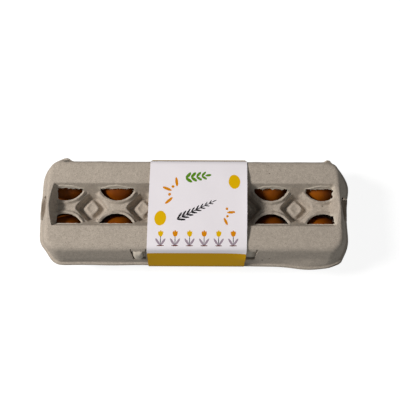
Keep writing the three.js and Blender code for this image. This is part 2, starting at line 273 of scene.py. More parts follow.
# %% Pits and pads
PIT_FLOOR_Z, PIT_TOP_Z, PAD_TOP_Z = 44.5, 56.0, 48.7
PIT_FLOOR, PIT_TOP = (13.2, 13.4), (15.9, 16.4)
PAD_FOOT, PAD_TOP = (10.0, 10.8), (6.9, 7.7)
PAD_EDGE_RISE, DISH_DEPTH, DISH_EDGE, DISH_RUN = 0.5, 0.9, 0.92, 0.5
CORNER_ROUND, CORNER_SHRINK = 2.6, 0.13


def from_column(x):
    """Distance along X to the nearest egg axis."""
    return (x + 3 * PITCH) % PITCH - PITCH / 2


def from_post(x):
    """Distance along X to the nearest of the five places between four eggs."""
    return x - np.clip(np.round(x / PITCH), -2, 2) * PITCH


def diamond(dx, dy, reach):
    """1 on a diamond's edge, less inside. Its corners are rounded."""
    soft_dx, soft_dy = np.sqrt(dx ** 2 + CORNER_ROUND), np.sqrt(dy ** 2 + CORNER_ROUND)
    return soft_dx / reach[0] + soft_dy / reach[1] - CORNER_SHRINK


def ramp_height(inner, outer, low, high):
    """The height of a slope between two diamonds: low on the inner one, high on the outer one."""
    return low + (high - low) * (inner - 1) / np.maximum(inner - outer, 1e-6)


def pit_height(x, y):
    dx = from_post(x)
    wall = ramp_height(diamond(dx, y, PIT_FLOOR), diamond(dx, y, PIT_TOP), PIT_FLOOR_Z, PIT_TOP_Z)
    pad_edge = diamond(dx, y, PAD_TOP)
    pad = ramp_height(pad_edge, diamond(dx, y, PAD_FOOT), PAD_TOP_Z, PIT_FLOOR_Z)
    dish = PAD_TOP_Z + PAD_EDGE_RISE - DISH_DEPTH * ease((DISH_EDGE - pad_edge) / DISH_RUN)
    pad = soft_min(pad, dish + 0.12 * uneven(x, y, 6, 3), 0.9)
    return soft_max(soft_max(wall, PIT_FLOOR_Z, 0.8), pad, 0.7)


# %% [markdown]
# ## The lid's top as a height map
# A pulp mould has to let go of its lid, so no place of the lid overhangs: each point of the plan has one
# height. That makes the channel, the pits with their pads and the ridges round the windows a height map,
# written as a function of x and y.

# %% Height of the lid's top
PANEL_SAG, SAG_FROM_Y, SAG_RUN = 0.9, 36.0, 15.0
RIDGE_HEIGHT, RIDGE_CREST, RIDGE_FOOT = 3.0, 20.0, 21.9
WINDOW_CURL = 1.3
LEDGE_Y, LEDGE_HALF_X, LEDGE_WIDTH, LEDGE_RUN = 16.9, 15.8, 0.6, 0.5
BACK_ARCH, FRONT_STEP = 2.1, 1.0


def end_bulge(y):
    """The share of the channel's end bulge at y: 1 in the middle, 0 at the sides."""
    return 1 - np.clip(np.abs(y) / CHANNEL_HALF, 0, 1) ** 1.5


def ledge_line(x, y):
    """Over each window the wall's outer ply is ripped off up to a line, arched behind and low in front."""
    arch = np.clip(1 - (from_column(x) / LEDGE_HALF_X) ** 2, 0, 1)
    rise = np.where(y > 0, BACK_ARCH * arch, FRONT_STEP * ease(arch * 3))
    return np.where(arch > 0, LEDGE_Y + rise + 0.22 * uneven(x, y * 0.1, 5, 13), 0.0)


def lid_height(x, y):
    sag = PANEL_SAG * ease((SAG_FROM_Y - np.abs(y)) / SAG_RUN)
    panel = TOP_Z - sag + 0.22 * uneven(x, y, 42, 5) - 0.15
    slope_y = (TOP_Z - CHANNEL_FLOOR_Z) / (CHANNEL_HALF - CHANNEL_FLOOR_HALF)
    from_ledge = ledge_line(x, y) - np.abs(y)
    ledge = np.clip(from_ledge, 0, LEDGE_WIDTH) * (1 - ease((from_ledge - LEDGE_WIDTH) / LEDGE_RUN))
    side = CHANNEL_FLOOR_Z + slope_y * (np.abs(y) - CHANNEL_FLOOR_HALF + ledge)
    end_top = CHANNEL_END + END_BULGE * end_bulge(y)
    end_floor = CHANNEL_FLOOR_END + 1.0 * end_bulge(y) + 0.5 * uneven(x, y, 9, 11)
    end = CHANNEL_FLOOR_Z + (TOP_Z - CHANNEL_FLOOR_Z) * (np.abs(x) - end_floor) / (end_top - end_floor)
    from_egg = np.hypot(from_column(x), np.abs(y) - PITCH / 2)
    ridge = RIDGE_HEIGHT * ease((RIDGE_FOOT - from_egg) / (RIDGE_FOOT - RIDGE_CREST))
    curl = WINDOW_CURL * ease((RIDGE_CREST - from_egg) / (RIDGE_CREST - WINDOW_RADIUS))
    bottom = CHANNEL_FLOOR_Z + ridge - curl + 0.15 * uneven(x, y, 7, 17)
    bottom = soft_min(bottom, pit_height(x, y), 1.0)
    walls = soft_max(side, end, 1.6)
    return soft_min(panel, soft_max(bottom, walls, 1.2), 1.4)


print("lid heights over the middle line, mm:",
      [round(float(lid_height(np.array(x), np.array(0.0))), 1) for x in (0, 8, 14, 24.5, 130, 140)])


# %% [markdown]
# ## From arrays to a mesh
# The lid and the tray are made as arrays of points and four-sided faces. One function turns them into an
# object of Blender, gives a thin sheet its thickness with a Solidify modifier, and bakes that in, so that
# the finished mesh holds its own place.

# %% Mesh helpers
SHARP_ANGLE = math.radians(55)


def net_faces(columns, rows):
    """The faces of a net whose points are listed column by column."""
    return np.array([(i * rows + j, i * rows + j + 1, (i + 1) * rows + j + 1, (i + 1) * rows + j)
                     for i in range(columns - 1) for j in range(rows - 1)])


def turned_over(faces):
    """The same faces, seen from the other side. Each keeps its first corner."""
    return faces[:, [0, 3, 2, 1]]


def mesh_object(name, points, faces, attributes=None, weld=None):
    """An object from points in mm. A corner that a face names twice counts once, and unused points go."""
    mesh = bpy.data.meshes.new(name)
    corners = [tuple(dict.fromkeys(face)) for face in np.asarray(faces).tolist()]
    mesh.from_pydata((np.asarray(points) * MM).tolist(), [], corners)
    for key, values in (attributes or {}).items():
        layer = mesh.attributes.new(key, "FLOAT", "POINT")
        layer.data.foreach_set("value", np.asarray(values, np.float32))
    used = bmesh.new()
    used.from_mesh(mesh)
    bmesh.ops.delete(used, geom=[v for v in used.verts if not v.link_faces], context="VERTS")
    if weld:
        bmesh.ops.remove_doubles(used, verts=used.verts, dist=weld * MM)
    used.to_mesh(mesh)
    used.free()
    mesh.update()
    return new_object(name, mesh)


def baked(obj):
    """Takes the object as its modifiers show it, and removes them."""
    layer = bpy.context.evaluated_depsgraph_get()
    layer.update()
    mesh = bpy.data.meshes.new_from_object(obj.evaluated_get(layer))
    obj.modifiers.clear()
    obj.data = mesh
    mesh.shade_smooth()
    mesh.set_sharp_from_angle(angle=SHARP_ANGLE)
    return obj


def thickened(obj, thickness):
    solidify = obj.modifiers.new("thickness", "SOLIDIFY")
    solidify.thickness = thickness * MM
    solidify.offset = -1
    return baked(obj)


def finished(obj, node_names, material):
    obj.data.materials.clear()
    obj.data.materials.append(material)
    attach(obj, "root")
    if node_names:
        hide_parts(*node_names)
    print(obj.name, len(obj.data.polygons), "faces")
    return obj


# %% [markdown]
# ## Openings
# A window, a slot or an arch is first cut roughly, by dropping the faces in it. Then the points on the
# rough edge slide onto the true edge. The opening is given as a signed distance, negative inside, and its
# slope says which way to slide.

# %% Cutting an opening
SLOPE_STEP, LEAST_SLOPE, LONGEST_SLIDE = 0.05, 0.3, 1.2


def cut_opening(points, faces, chosen, distance, axes, settle):
    """axes are the two directions that distance counts in. settle puts moved points back on the surface."""
    centres = points[faces].mean(axis=1)
    gone = chosen(centres) & (distance(centres[:, axes[0]], centres[:, axes[1]]) < 0)
    edge = np.intersect1d(faces[gone], faces[~gone])
    a, b = points[edge, axes[0]], points[edge, axes[1]]
    for _ in range(2):
        depth = distance(a, b)
        slope_a = (distance(a + SLOPE_STEP, b) - distance(a - SLOPE_STEP, b)) / (2 * SLOPE_STEP)
        slope_b = (distance(a, b + SLOPE_STEP) - distance(a, b - SLOPE_STEP)) / (2 * SLOPE_STEP)
        length = np.maximum(np.hypot(slope_a, slope_b), LEAST_SLOPE)
        move = np.clip(depth, -LONGEST_SLIDE, LONGEST_SLIDE) / length
        a, b = a - move * slope_a / length, b - move * slope_b / length
    points[edge, axes[0]], points[edge, axes[1]] = a, b
    points[edge] = settle(points[edge])
    return faces[~gone], edge


# %% [markdown]
# ## Outlines with round corners
# Every level of the lid's wall is a rectangle with rounded corners, a little larger further down. The
# edge of one square is carried onto each of them, so all levels have the same points and can be joined
# one by one.

# %% Outlines
def outline_points(u, v, half):
    """Carries points on the edge of the square from -1 to 1 onto a rectangle with rounded corners."""
    arc = math.pi / 2 * math.sqrt((half["cx"] ** 2 + half["cy"] ** 2) / 2) / 2
    on_end = np.abs(u) >= 1
    straight_end, straight_side = half["y"] - half["cy"], half["x"] - half["cx"]
    run = np.where(on_end, np.abs(v) * (straight_end + arc), np.abs(u) * (straight_side + arc))
    past = np.clip(np.where(on_end, run - straight_end, run - straight_side) / arc, 0, 1) * math.pi / 4
    angle = np.where(on_end, past, math.pi / 2 - past)
    x = straight_side + half["cx"] * np.cos(angle)
    y = straight_end + half["cy"] * np.sin(angle)
    x = np.where(on_end, x, np.where(run < straight_side, run, x))
    y = np.where(on_end, np.where(run < straight_end, run, y), y)
    return np.stack([np.sign(u) * x, np.sign(v) * y], axis=1)


def between(a, b, share):
    return {key: a[key] + (b[key] - a[key]) * share for key in a}


def grown(half, by):
    return {key: value + by for key, value in half.items()}


# %% [markdown]
# ## The channel as a grid
# The lid is one sheet. Its channel is a grid of points, closer together on the steep side walls. The
# points on the grid's edge are listed once round, because the rings of the next step start from them. A
# cut-up solid could give the lid too, but a sheet like this has soft folds and even faces.

# %% Grid of the channel
CELLS_X, CELLS_WALL, CELLS_FLOOR = 320, 20, 32
FINE_ROWS_FROM = 13
BULGE_FROM_U = 0.92

side_rows = np.linspace(CHANNEL_HALF, FINE_ROWS_FROM, CELLS_WALL + 1)
floor_rows = np.linspace(-FINE_ROWS_FROM, FINE_ROWS_FROM, CELLS_FLOOR + 1)[1:-1]
grid_vs = np.concatenate([-side_rows, floor_rows, side_rows[::-1]]) / CHANNEL_HALF
grid_us = np.linspace(-1, 1, CELLS_X + 1)
CELLS_Y = len(grid_vs) - 1

u_grid, v_grid = np.meshgrid(grid_us, grid_vs, indexing="ij")
grid_y = v_grid * CHANNEL_HALF
bulge_x = END_BULGE * end_bulge(grid_y) * ease((np.abs(u_grid) - BULGE_FROM_U) / (1 - BULGE_FROM_U))
grid_x = u_grid * CHANNEL_END + np.sign(u_grid) * bulge_x
grid_xy = np.stack([grid_x.ravel(), grid_y.ravel()], axis=1)
grid_faces = turned_over(net_faces(CELLS_X + 1, CELLS_Y + 1))

loop = [(CELLS_X, j) for j in range(CELLS_Y)] + [(i, CELLS_Y) for i in range(CELLS_X, 0, -1)]
loop += [(0, j) for j in range(CELLS_Y, 0, -1)] + [(i, 0) for i in range(CELLS_X)]
loop_i, loop_j = np.array(loop).T
loop_u, loop_v = grid_us[loop_i], grid_vs[loop_j]
edge_index = loop_i * (CELLS_Y + 1) + loop_j
edge_xy = grid_xy[edge_index]
print("channel grid:", len(grid_xy), "points,", len(loop), "of them on its edge")

# %% [markdown]
# ## Rings round the grid
# From the grid's edge, rings of points go out over the panels, round the crease, down the wall and over
# the small lip. The crease is a curve that has the sharp corner of wall and panel as its handle.

# %% Rings of the lid
PANEL_SHARES = (0.05, 0.14, 0.32, 0.55, 0.78, 1.0)
CREASE_SHARES = (0.16, 0.32, 0.48, 0.64, 0.82, 1.0)
WALL_LEVELS = (59.8, 56.8, 53.8, 50.8, 47.8, 44.8, 42.2, 40.2)
LIP_LEVELS = ((0.02, 39.1), (0.2, 38.8), (0.85, 38.6), (1.0, 38.3), (1.0, 37.1))
LIP_TOP_Z = RIM_Z + WALL
CREASE_START_Z = TOP_Z - CREASE_REACH
LEAST_PANEL = 0.9


def wall_outline(z):
    share = (z - LIP_TOP_Z) / (TOP_Z - LIP_TOP_Z)
    return outline_points(loop_u, loop_v, between(LID_FOOT, LID_CREASE, share))


def curve(start, handle, end, t):
    return (1 - t) ** 2 * start + 2 * t * (1 - t) * handle + t ** 2 * end


crease_start = wall_outline(CREASE_START_Z)
crease_corner = outline_points(loop_u, loop_v, LID_CREASE)
panel_edge = outline_points(loop_u, loop_v, grown(LID_CREASE, -CREASE_REACH))
near_end = np.abs(edge_xy[:, 0]) + LEAST_PANEL
tight = (np.abs(loop_u) >= 1) & (np.abs(panel_edge[:, 0]) < near_end)
panel_edge[tight, 0] = np.sign(panel_edge[tight, 0]) * near_end[tight]

rings = []
for share in PANEL_SHARES:
    ring = edge_xy * (1 - share) + panel_edge * share
    rings.append(np.column_stack([ring, lid_height(ring[:, 0], ring[:, 1])]))
panel_z = rings[-1][:, 2]
for t in CREASE_SHARES:
    ring = curve(panel_edge, crease_corner, crease_start, t)
    rings.append(np.column_stack([ring, curve(panel_z, panel_z, CREASE_START_Z, t)]))
level_rings = [(wall_outline(z), z) for z in WALL_LEVELS]
level_rings += [(outline_points(loop_u, loop_v, between(LID_FOOT, LID_RIM, share)), z)
                for share, z in LIP_LEVELS]
rings += [np.column_stack([ring, np.full(len(ring), z)]) for ring, z in level_rings]

around = len(loop)
lid_points = np.concatenate([np.column_stack([grid_xy, lid_height(grid_xy[:, 0], grid_xy[:, 1])]), *rings])
ring_index = [edge_index] + [len(grid_xy) + k * around + np.arange(around) for k in range(len(rings))]
ring_faces = [np.stack([inner, outer, np.roll(outer, -1), np.roll(inner, -1)], axis=1)
              for inner, outer in zip(ring_index, ring_index[1:])]
lid_faces = np.concatenate([grid_faces, *ring_faces])
print("lid sheet:", len(lid_points), "points,", len(lid_faces), "faces")

# %% [markdown]
# ## Windows
# The windows are torn out of the wet pulp: their curved edge is clean, but along the channel's wall the
# edge is ragged. Both edges are distances, and the larger of them counts. The right-hand windows reach a
# little further at the carton's end.

# %% Cut the windows
RIGHT_END_FURTHER = 1.4
WINDOWS_WITHIN_X = 134


def window_distance(x, y):
    jags = np.where(y > 0, 1.0, 0.6) * uneven(x, y * 0.2, 3.0, 37)
    torn_edge = np.abs(y) - WINDOW_EDGE_Y + 0.35 * uneven(x, y * 0.2, 7, 31) + 0.2 * jags
    from_egg = np.hypot(from_column(x), np.abs(y) - PITCH / 2)
    round_edge = from_egg - WINDOW_RADIUS + 0.12 * uneven(x, y, 3, 41)
    end_x = np.where(x > 0, WINDOW_EDGE_X + RIGHT_END_FURTHER, WINDOW_EDGE_X)
    end_edge = np.abs(x) - end_x + 0.4 * uneven(y, x * 0.2, 3.0, 43)
    return np.maximum(np.maximum(round_edge, torn_edge), end_edge)


def in_channel(centres):
    return (np.abs(centres[:, 1]) < CHANNEL_HALF) & (np.abs(centres[:, 0]) < WINDOWS_WITHIN_X)


def on_lid_top(points):
    points[:, 2] = lid_height(points[:, 0], points[:, 1])
    return points


lid_faces, window_edge = cut_opening(lid_points, lid_faces, in_channel, window_distance, (0, 1), on_lid_top)
print("window edges:", len(window_edge), "points")

# %% [markdown]
# ## Slots and arches
# Two lock slots sit in the front wall, and each end wall has an arch for the thumb. They are cut as the
# windows are, but their distances count along the wall and up, and moved points go back onto the wall.

# %% Cut the slots and the arches
ARCH_HALF, ARCH_FOOT_Z, ARCH_TOP_Z, ARCH_Y = 11.8, RIM_Z - 2, 65.6, 1.6
ARCH_EDGE_SCALE = 9
SLOT_X, SLOT_TOP_Z, SLOT_BOTTOM_Z, SLOT_TOP_HALF, SLOT_BOTTOM_HALF = 51.3, 65.6, 47.0, 7.6, 5.9
FRONT_WALL_Y, SLOTS_WITHIN_X = -41, 80
END_WALL_X, ARCHES_WITHIN_Y = 136.2, 20

wall_rings = rings[len(PANEL_SHARES) - 1:][::-1]
front_column = int(np.argmin(np.hypot(loop_u, loop_v + 1)))
end_column = int(np.argmin(np.hypot(loop_u - 1, loop_v)))
front_y, front_z = np.array([ring[front_column, 1:] for ring in wall_rings]).T
end_x, end_z = np.array([ring[end_column, [0, 2]] for ring in wall_rings]).T


def front_wall_y(z):
    return np.interp(z, front_z, front_y)


def slot_distance(x, z):
    share = (z - SLOT_BOTTOM_Z) / (SLOT_TOP_Z - SLOT_BOTTOM_Z)
    half = SLOT_BOTTOM_HALF + (SLOT_TOP_HALF - SLOT_BOTTOM_HALF) * share
    sides = np.abs(np.abs(x) - SLOT_X) - half
    return np.maximum(np.maximum(sides, z - SLOT_TOP_Z), SLOT_BOTTOM_Z - z) + 0.12 * uneven(x, z, 3, 47)


def arch_distance(y, z):
    height = (z - ARCH_FOOT_Z) / (ARCH_TOP_Z - ARCH_FOOT_Z)
    from_middle = np.sqrt(((y - ARCH_Y) / ARCH_HALF) ** 2 + height ** 2 + 1e-9)
    return (from_middle - 1) * ARCH_EDGE_SCALE + 0.2 * uneven(y, z, 6, 53)


def in_front_wall(centres):
    return (centres[:, 1] < FRONT_WALL_Y) & (np.abs(centres[:, 0]) < SLOTS_WITHIN_X)


def in_end_walls(centres):
    return (np.abs(centres[:, 0]) > END_WALL_X) & (np.abs(centres[:, 1]) < ARCHES_WITHIN_Y)


def on_front_wall(points):
    points[:, 1] = front_wall_y(points[:, 2])
    return points


def on_end_wall(points):
    points[:, 0] = np.sign(points[:, 0]) * np.interp(points[:, 2], end_z, end_x)
    return points


lid_faces, slot_edge = cut_opening(lid_points, lid_faces, in_front_wall, slot_distance, (0, 2),
                                   on_front_wall)
lid_faces, arch_edge = cut_opening(lid_points, lid_faces, in_end_walls, arch_distance, (1, 2), on_end_wall)
print("slot edges:", len(slot_edge), "points, arch edges:", len(arch_edge), "points")

# %% [markdown]
# ## Lock flaps
# Each slot was punched on three sides only. The flap that stays hangs from the top and is pushed out of
# line by the tongue of the tray. A short strip of sheet behind the slot's upper edge is all that shows of
# it.

# %% Flaps
FLAP_TOP_Z, FLAP_BOTTOM_Z, FLAP_HALF = SLOT_TOP_Z + 0.6, 62.6, 6.4
FLAP_BEHIND, FLAP_LEAN = 0.3, 0.1


def strip(xs, profile):
    """A sheet through a profile of (y, z) points, repeated at every x, with its faces to the front."""
    points = np.array([(x, y, z) for x in xs for y, z in profile])
    return points, net_faces(len(xs), len(profile))


def joined(sheets):
    points, faces, start = [], [], 0
    for some_points, some_faces in sheets:
        points.append(some_points)
        faces.append(np.asarray(some_faces) + start)
        start += len(some_points)
    return np.concatenate(points), np.concatenate(faces)


flap_zs = np.linspace(FLAP_TOP_Z, FLAP_BOTTOM_Z, 9)
flap_lean = FLAP_LEAN * (FLAP_TOP_Z - flap_zs) / (FLAP_TOP_Z - FLAP_BOTTOM_Z)
flap_ys = front_wall_y(flap_zs) - flap_lean + FLAP_BEHIND
flap_profile = list(zip(flap_ys, flap_zs))
flaps = [strip(np.linspace(side * SLOT_X - FLAP_HALF, side * SLOT_X + FLAP_HALF, 15), flap_profile)
         for side in (-1, 1)]
print("flaps:", len(flaps), "of", len(flaps[0][1]), "faces")

# %% [markdown]
# ## Bent rims
# This carton has been handled. Its rims are bent in along the hinge, out at two corners and in at a
# third, and bulge at the front right. Smooth hills of movement do that. Lid and tray get the same ones,
# so that their rims stay together.

# %% Bending the rims
BACK_RIGHT, FRONT_LEFT, FRONT_RIGHT = (151, 23, 9), (-146, -45, 8), (141, -50, 3.5)
BULGE_X, BULGE_RUN, BULGE_OUT = 109, 20, 2.9
HINGE_FROM_X, HINGE_TO_X = -127, 135


def hill(x, y, centre_x, centre_y, spread):
    return np.exp(-((x - centre_x) ** 2 + (y - centre_y) ** 2) / (2 * spread ** 2))


def bend_rims(points):
    x, y, z = points.T
    wall = ease((64 - z) / 26) * ease((z - 18) / 14)
    rim = ease((50 - z) / 11) * ease((z - 18) / 14) * ease((np.abs(y) - 32) / 12)
    hinge = ease((x - HINGE_FROM_X) / 6) * ease((HINGE_TO_X - x) / 6)
    hinge = hinge * ease((y - 32) / 9) * ease((z - 30) / 6)
    back_right, front_left = hill(x, y, *BACK_RIGHT) * wall, hill(x, y, *FRONT_LEFT) * wall
    front_right = hill(x, y, *FRONT_RIGHT) * rim
    bulge = BULGE_OUT * np.exp(-((x - BULGE_X) / BULGE_RUN) ** 2)

    along = 3.0 * back_right + 2.4 * front_left + 1.2 * front_right
    along += 0.25 * uneven(y, z, 40, 29) * wall * ease((np.abs(x) - 130) / 10)
    across = 2.0 * front_left - 1.0 * front_right
    across -= hinge * (1.3 * ease((70 - z) / 8) + 1.6 * ease((58 - z) / 18))
    across += (y < 0) * rim * (0.9 * ease((60 - x) / 50) - bulge)
    across += 0.25 * uneven(x, y * 0.3, 55, 23) * rim
    points[:, 0] += along
    points[:, 1] += across
    return points


# %% [markdown]
# ## The finished lid
# Where pulp is torn, its pale inside shows. Each point of the channel gets a share of that, kept with the
# mesh for the material: along the ragged edges of the windows, and where the wall's outer ply ends, where
# the pale is also a painted highlight on the ledge. Then the sheet is bent and gets its thickness.

# %% Finish the lid's shape
LID_SHEET = 1.5
TORN_FADE, TORN_FROM_Y, TORN_FROM_X, TORN_RUN = 0.9, 15.2, 128.6, 1.5
CLEAN_EDGE_SHARE, PLY_PALE_AND_HIGHLIGHT = 0.12, 0.8
PLY_FROM_Y, PLY_MIDDLE, PLY_HALF = 16, 0.45, 0.5


def torn_and_lit_share(x, y):
    near_window = np.exp(-np.abs(window_distance(x, y)) / TORN_FADE)
    torn_side = ease((np.abs(y) - TORN_FROM_Y) / TORN_RUN) + ease((np.abs(x) - TORN_FROM_X) / TORN_RUN)
    past_ledge = ledge_line(x, y) - np.abs(y)
    # Where the outer ply ends, the ledge is pale torn pulp and also a painted highlight for the light its
    # edge catches.
    ply = (np.abs(y) > PLY_FROM_Y) * np.exp(-((past_ledge - PLY_MIDDLE) / PLY_HALF) ** 2)
    return np.maximum(near_window * np.clip(torn_side, CLEAN_EDGE_SHARE, 1), PLY_PALE_AND_HIGHLIGHT * ply)


sheet_points, sheet_faces = joined([(lid_points, lid_faces), *flaps])
grid_count = len(grid_xy)
torn_and_lit = np.zeros(len(sheet_points))
torn_and_lit[:grid_count] = torn_and_lit_share(lid_points[:grid_count, 0], lid_points[:grid_count, 1])
lid = mesh_object("carton_lid", bend_rims(sheet_points), sheet_faces, {"torn_and_lit": torn_and_lit})
lid = thickened(lid, LID_SHEET)
print("lid box in mm:", [round(v / MM, 1) for v in lid.dimensions])

# %% [markdown]
# ## The tray's height
# Twelve cups are moulded in one sheet. Its height comes from one function again: the wall of the nearest
# cup, whose section turns from round to squarish, the posts between four cups, and the flat rim.

# %% Height of the tray
CUP_RADII = [0, 11.2, 13.8, 18.6, 22.0, 24.2, 25.2, 26.6]
CUP_HEIGHTS = [2.8, 2.8, 4.6, 13.0, 22.0, 29.0, 36.65, 50.0]
TRAY_RIM = dict(x=150.3, y=54.0, cx=23, cy=28)
TRAY_RIM_Z = 36.65
POST_FOOT, POST_TOP = (11.5, 11.5), (5.6, 5.2)
POST_FOOT_Z, POST_TOP_Z = 26.6, 42.3
PAST_POST_DROP = 80
SMOOTH_STEPS = 12

fine_radii = np.linspace(0, CUP_RADII[-1], 400)
raw_heights = np.interp(fine_radii, CUP_RADII, CUP_HEIGHTS)
smooth_width = 2 * SMOOTH_STEPS + 1
soft_heights = np.convolve(np.pad(raw_heights, SMOOTH_STEPS, mode="edge"),
                           np.ones(smooth_width) / smooth_width, mode="valid")


def cup_radius(dx, dy):
    """Distance from a cup's axis, counted so that the cup turns from a round floor to a squarish mouth."""
    reach = np.maximum(np.hypot(dx, dy), 1e-6)
    power = 2 + ease((reach - 10) / 16)
    return (np.abs(dx) ** power + np.abs(dy) ** power) ** (1 / power)


def tray_height(x, y):
    column = np.clip(np.round((x - PITCH / 2) / PITCH), -3, 2) * PITCH + PITCH / 2
    row = np.where(y > 0, PITCH / 2, -PITCH / 2)
    cup = np.interp(cup_radius(x - column, y - row), fine_radii, soft_heights)
    cup = soft_min(cup, TRAY_RIM_Z, 1.2) + 0.3
    cup = np.minimum(cup, TRAY_RIM_Z)
    dx = from_post(x)
    foot = diamond(dx, y, POST_FOOT)
    post = ramp_height(diamond(dx, y, POST_TOP), foot, POST_TOP_Z, POST_FOOT_Z)
    post = post - PAST_POST_DROP * np.clip(foot - 1, 0, 1)
    return soft_max(cup, np.minimum(post, POST_TOP_Z), 1.0)


print("tray heights along a row, mm:",
      [round(float(tray_height(np.array(x), np.array(PITCH / 2))), 1) for x in (0, 4, 8, 16, PITCH / 2)])

# %% [markdown]
# ## The tray's sheet
# Each cup gets rings of points that go out from its floor to the border of its cell. Neighbours share
# their borders, so the cells join into one sheet. Only a middle cell and a corner cell are different in
# plan, so each cell is made for the back right quarter and mirrored to its place.

# %% Sheet of the tray
SIDE_STEPS, EDGE_STEPS, ARC_STEPS = 20, 18, 12
WALL_RINGS = [4, 8, 11, 12.4, 13.8, 15.4, 17, 18.6, 20, 21.3, 22.4, 23.3, 24.0, 24.6, 25.1, 25.6]
OUTER_RINGS = [0.2, 0.45, 0.7, 1.0]
NO_LIMIT = 99
LUGS, LUG_SPREAD, LUG_FROM_Y = ((-128.5, 2.4), (134.5, 4.0)), 3.2, 51


def points_along(start, end, steps):
    """Points on a straight line, without its last one."""
    return [tuple(a + (b - a) * i / steps for a, b in zip(start, end)) for i in range(steps)]


def cell_border(outer_x, at_end):
    """The border of a cell, seen from its egg axis, counter-clockwise from its inner corner."""
    inner, outer_y = PITCH / 2, TRAY_RIM["y"] - PITCH / 2
    side_x = outer_x if at_end else inner
    points = points_along((-inner, -inner), (side_x, -inner), EDGE_STEPS)
    if at_end:
        radius_x, radius_y = TRAY_RIM["cx"], TRAY_RIM["cy"]
        arc_x, arc_y = outer_x - radius_x, outer_y - radius_y
        points += points_along((side_x, -inner), (side_x, arc_y), SIDE_STEPS)
        angles = [i / ARC_STEPS * math.pi / 2 for i in range(ARC_STEPS)]
        points += [(arc_x + radius_x * math.cos(a), arc_y + radius_y * math.sin(a)) for a in angles]
        points += points_along((arc_x, outer_y), (-inner, outer_y), EDGE_STEPS)
    else:
        points += points_along((side_x, -inner), (side_x, outer_y), SIDE_STEPS)
        points += points_along((side_x, outer_y), (-inner, outer_y), EDGE_STEPS)
    points += points_along((-inner, outer_y), (-inner, -inner), SIDE_STEPS)
    return np.array(points)


def cell_sheet(column, row):
    """One cup and its border. The faces round its middle name a corner twice, so they become triangles."""
    at_end = abs(column) > 2 * PITCH
    border = cell_border(TRAY_RIM["x"] - abs(column), at_end)
    direction = border / np.linalg.norm(border, axis=1, keepdims=True)
    limit_x = NO_LIMIT if at_end else PITCH / 2
    rounds = []
    for radius in WALL_RINGS:
        counted = cup_radius(direction[:, 0] * radius, direction[:, 1] * radius)[:, None]
        ring = direction * radius / counted * radius
        ring[:, 0] = np.clip(ring[:, 0], -PITCH / 2, limit_x)
        ring[:, 1] = np.maximum(ring[:, 1], -PITCH / 2)
        rounds.append(ring)
    last = rounds[-1]
    rounds += [last * (1 - share) + border * share for share in OUTER_RINGS]
    plan = np.concatenate([[[0.0, 0.0]], *rounds])
    count = len(border)
    faces = [(0, 1 + i, 1 + (i + 1) % count, 1 + (i + 1) % count) for i in range(count)]
    for k in range(len(rounds) - 1):
        for i in range(count):
            a, b = 1 + k * count + i, 1 + k * count + (i + 1) % count
            faces.append((a, a + count, b + count, b))
    mirror_x, mirror_y = (1 if column > 0 else -1), (1 if row > 0 else -1)
    x = abs(column) + plan[:, 0]
    y = abs(row) + plan[:, 1]
    points = np.column_stack([mirror_x * x, mirror_y * y, tray_height(x, y)])
    faces = np.array(faces)
    return points, faces[:, ::-1] if mirror_x * mirror_y < 0 else faces


cells = [cell_sheet(column, row) for column in COLUMN_XS for row in ROW_YS]
tray_points, tray_faces = joined(cells)
for lug_x, lug_height in LUGS:
    lug = np.exp(-((tray_points[:, 0] - lug_x) / LUG_SPREAD) ** 2)
    tray_points[:, 2] += lug_height * lug * (tray_points[:, 1] > LUG_FROM_Y)
print("tray sheet:", len(cells), "cells,", len(tray_faces), "faces")

# %% [markdown]
# ## Tongues with their nubs
# These small upstands belong to the tray. A lock tongue stands behind each slot and ends in a rounded nub
# that fills the slot's lower part. The nub is a cushion: a net of points that swells most in its middle.
# The right nub sits a little behind its slot.

# %% Tongues and nubs
NUB_HALF, NUB_TOP_Z, NUB_BOTTOM_Z, NUB_BEHIND = 4.7, 62.2, 49.8, 2.2
LEFT_NUB_X, LEFT_NUB_OUT = -SLOT_X - 0.4, 2.7
RIGHT_NUB_X, RIGHT_NUB_OUT = SLOT_X - 1.2, -0.6
TONGUE_HALF, TONGUE_TOP_Z, TONGUE_FOOT_Z, TONGUE_BEHIND = 6.4, 61, 38, 2.4
RIM_JOIN_Z = TRAY_RIM_Z - 0.2


def cushion_steps(count):
    """Values from -1 to 1 that lie closer together at both ends."""
    return [math.sin(math.pi / 2 * (-1 + 2 * i / count)) for i in range(count + 1)]


def nub_sheet(centre_x, out):
    """A cushion that starts behind the lid's wall and swells through the slot. Its lower end is round."""
    columns, levels = cushion_steps(22), cushion_steps(26)
    points = []
    for a in columns:
        for b in levels:
            z = (NUB_TOP_Z + NUB_BOTTOM_Z) / 2 - b * (NUB_TOP_Z - NUB_BOTTOM_Z) / 2
            half = NUB_HALF * math.sqrt(1 - 0.3 * max(b - 0.3, 0) ** 2)
            roundness = 6 if b < 0 else 2.6
            swell = max(1 - abs(a) ** 3.4, 0) ** 0.5 * max(1 - abs(b) ** roundness, 0) ** 0.5
            y = front_wall_y(z) + NUB_BEHIND - (NUB_BEHIND + out) * swell
            points.append((centre_x + a * half, y, z))
    return np.array(points), net_faces(len(columns), len(levels))


def tongue_sheet(centre_x):
    profile = [(front_wall_y(z) + TONGUE_BEHIND, z) for z in np.linspace(TONGUE_TOP_Z, TONGUE_FOOT_Z, 12)]
    profile.append((-51.5, RIM_JOIN_Z))
    return strip(np.linspace(centre_x - TONGUE_HALF, centre_x + TONGUE_HALF, 13), profile)


lock_sheets = [nub_sheet(LEFT_NUB_X, LEFT_NUB_OUT), nub_sheet(RIGHT_NUB_X, RIGHT_NUB_OUT),
               tongue_sheet(-SLOT_X), tongue_sheet(SLOT_X)]
print("lock:", sum(len(faces) for _, faces in lock_sheets), "faces")

# %% [markdown]
# ## End lips and the hinge
# A lip stands behind each thumb arch, with a trough in the rim outside it. The hinge is the fold of pulp
# along the back. Both are a profile that is repeated along a line.

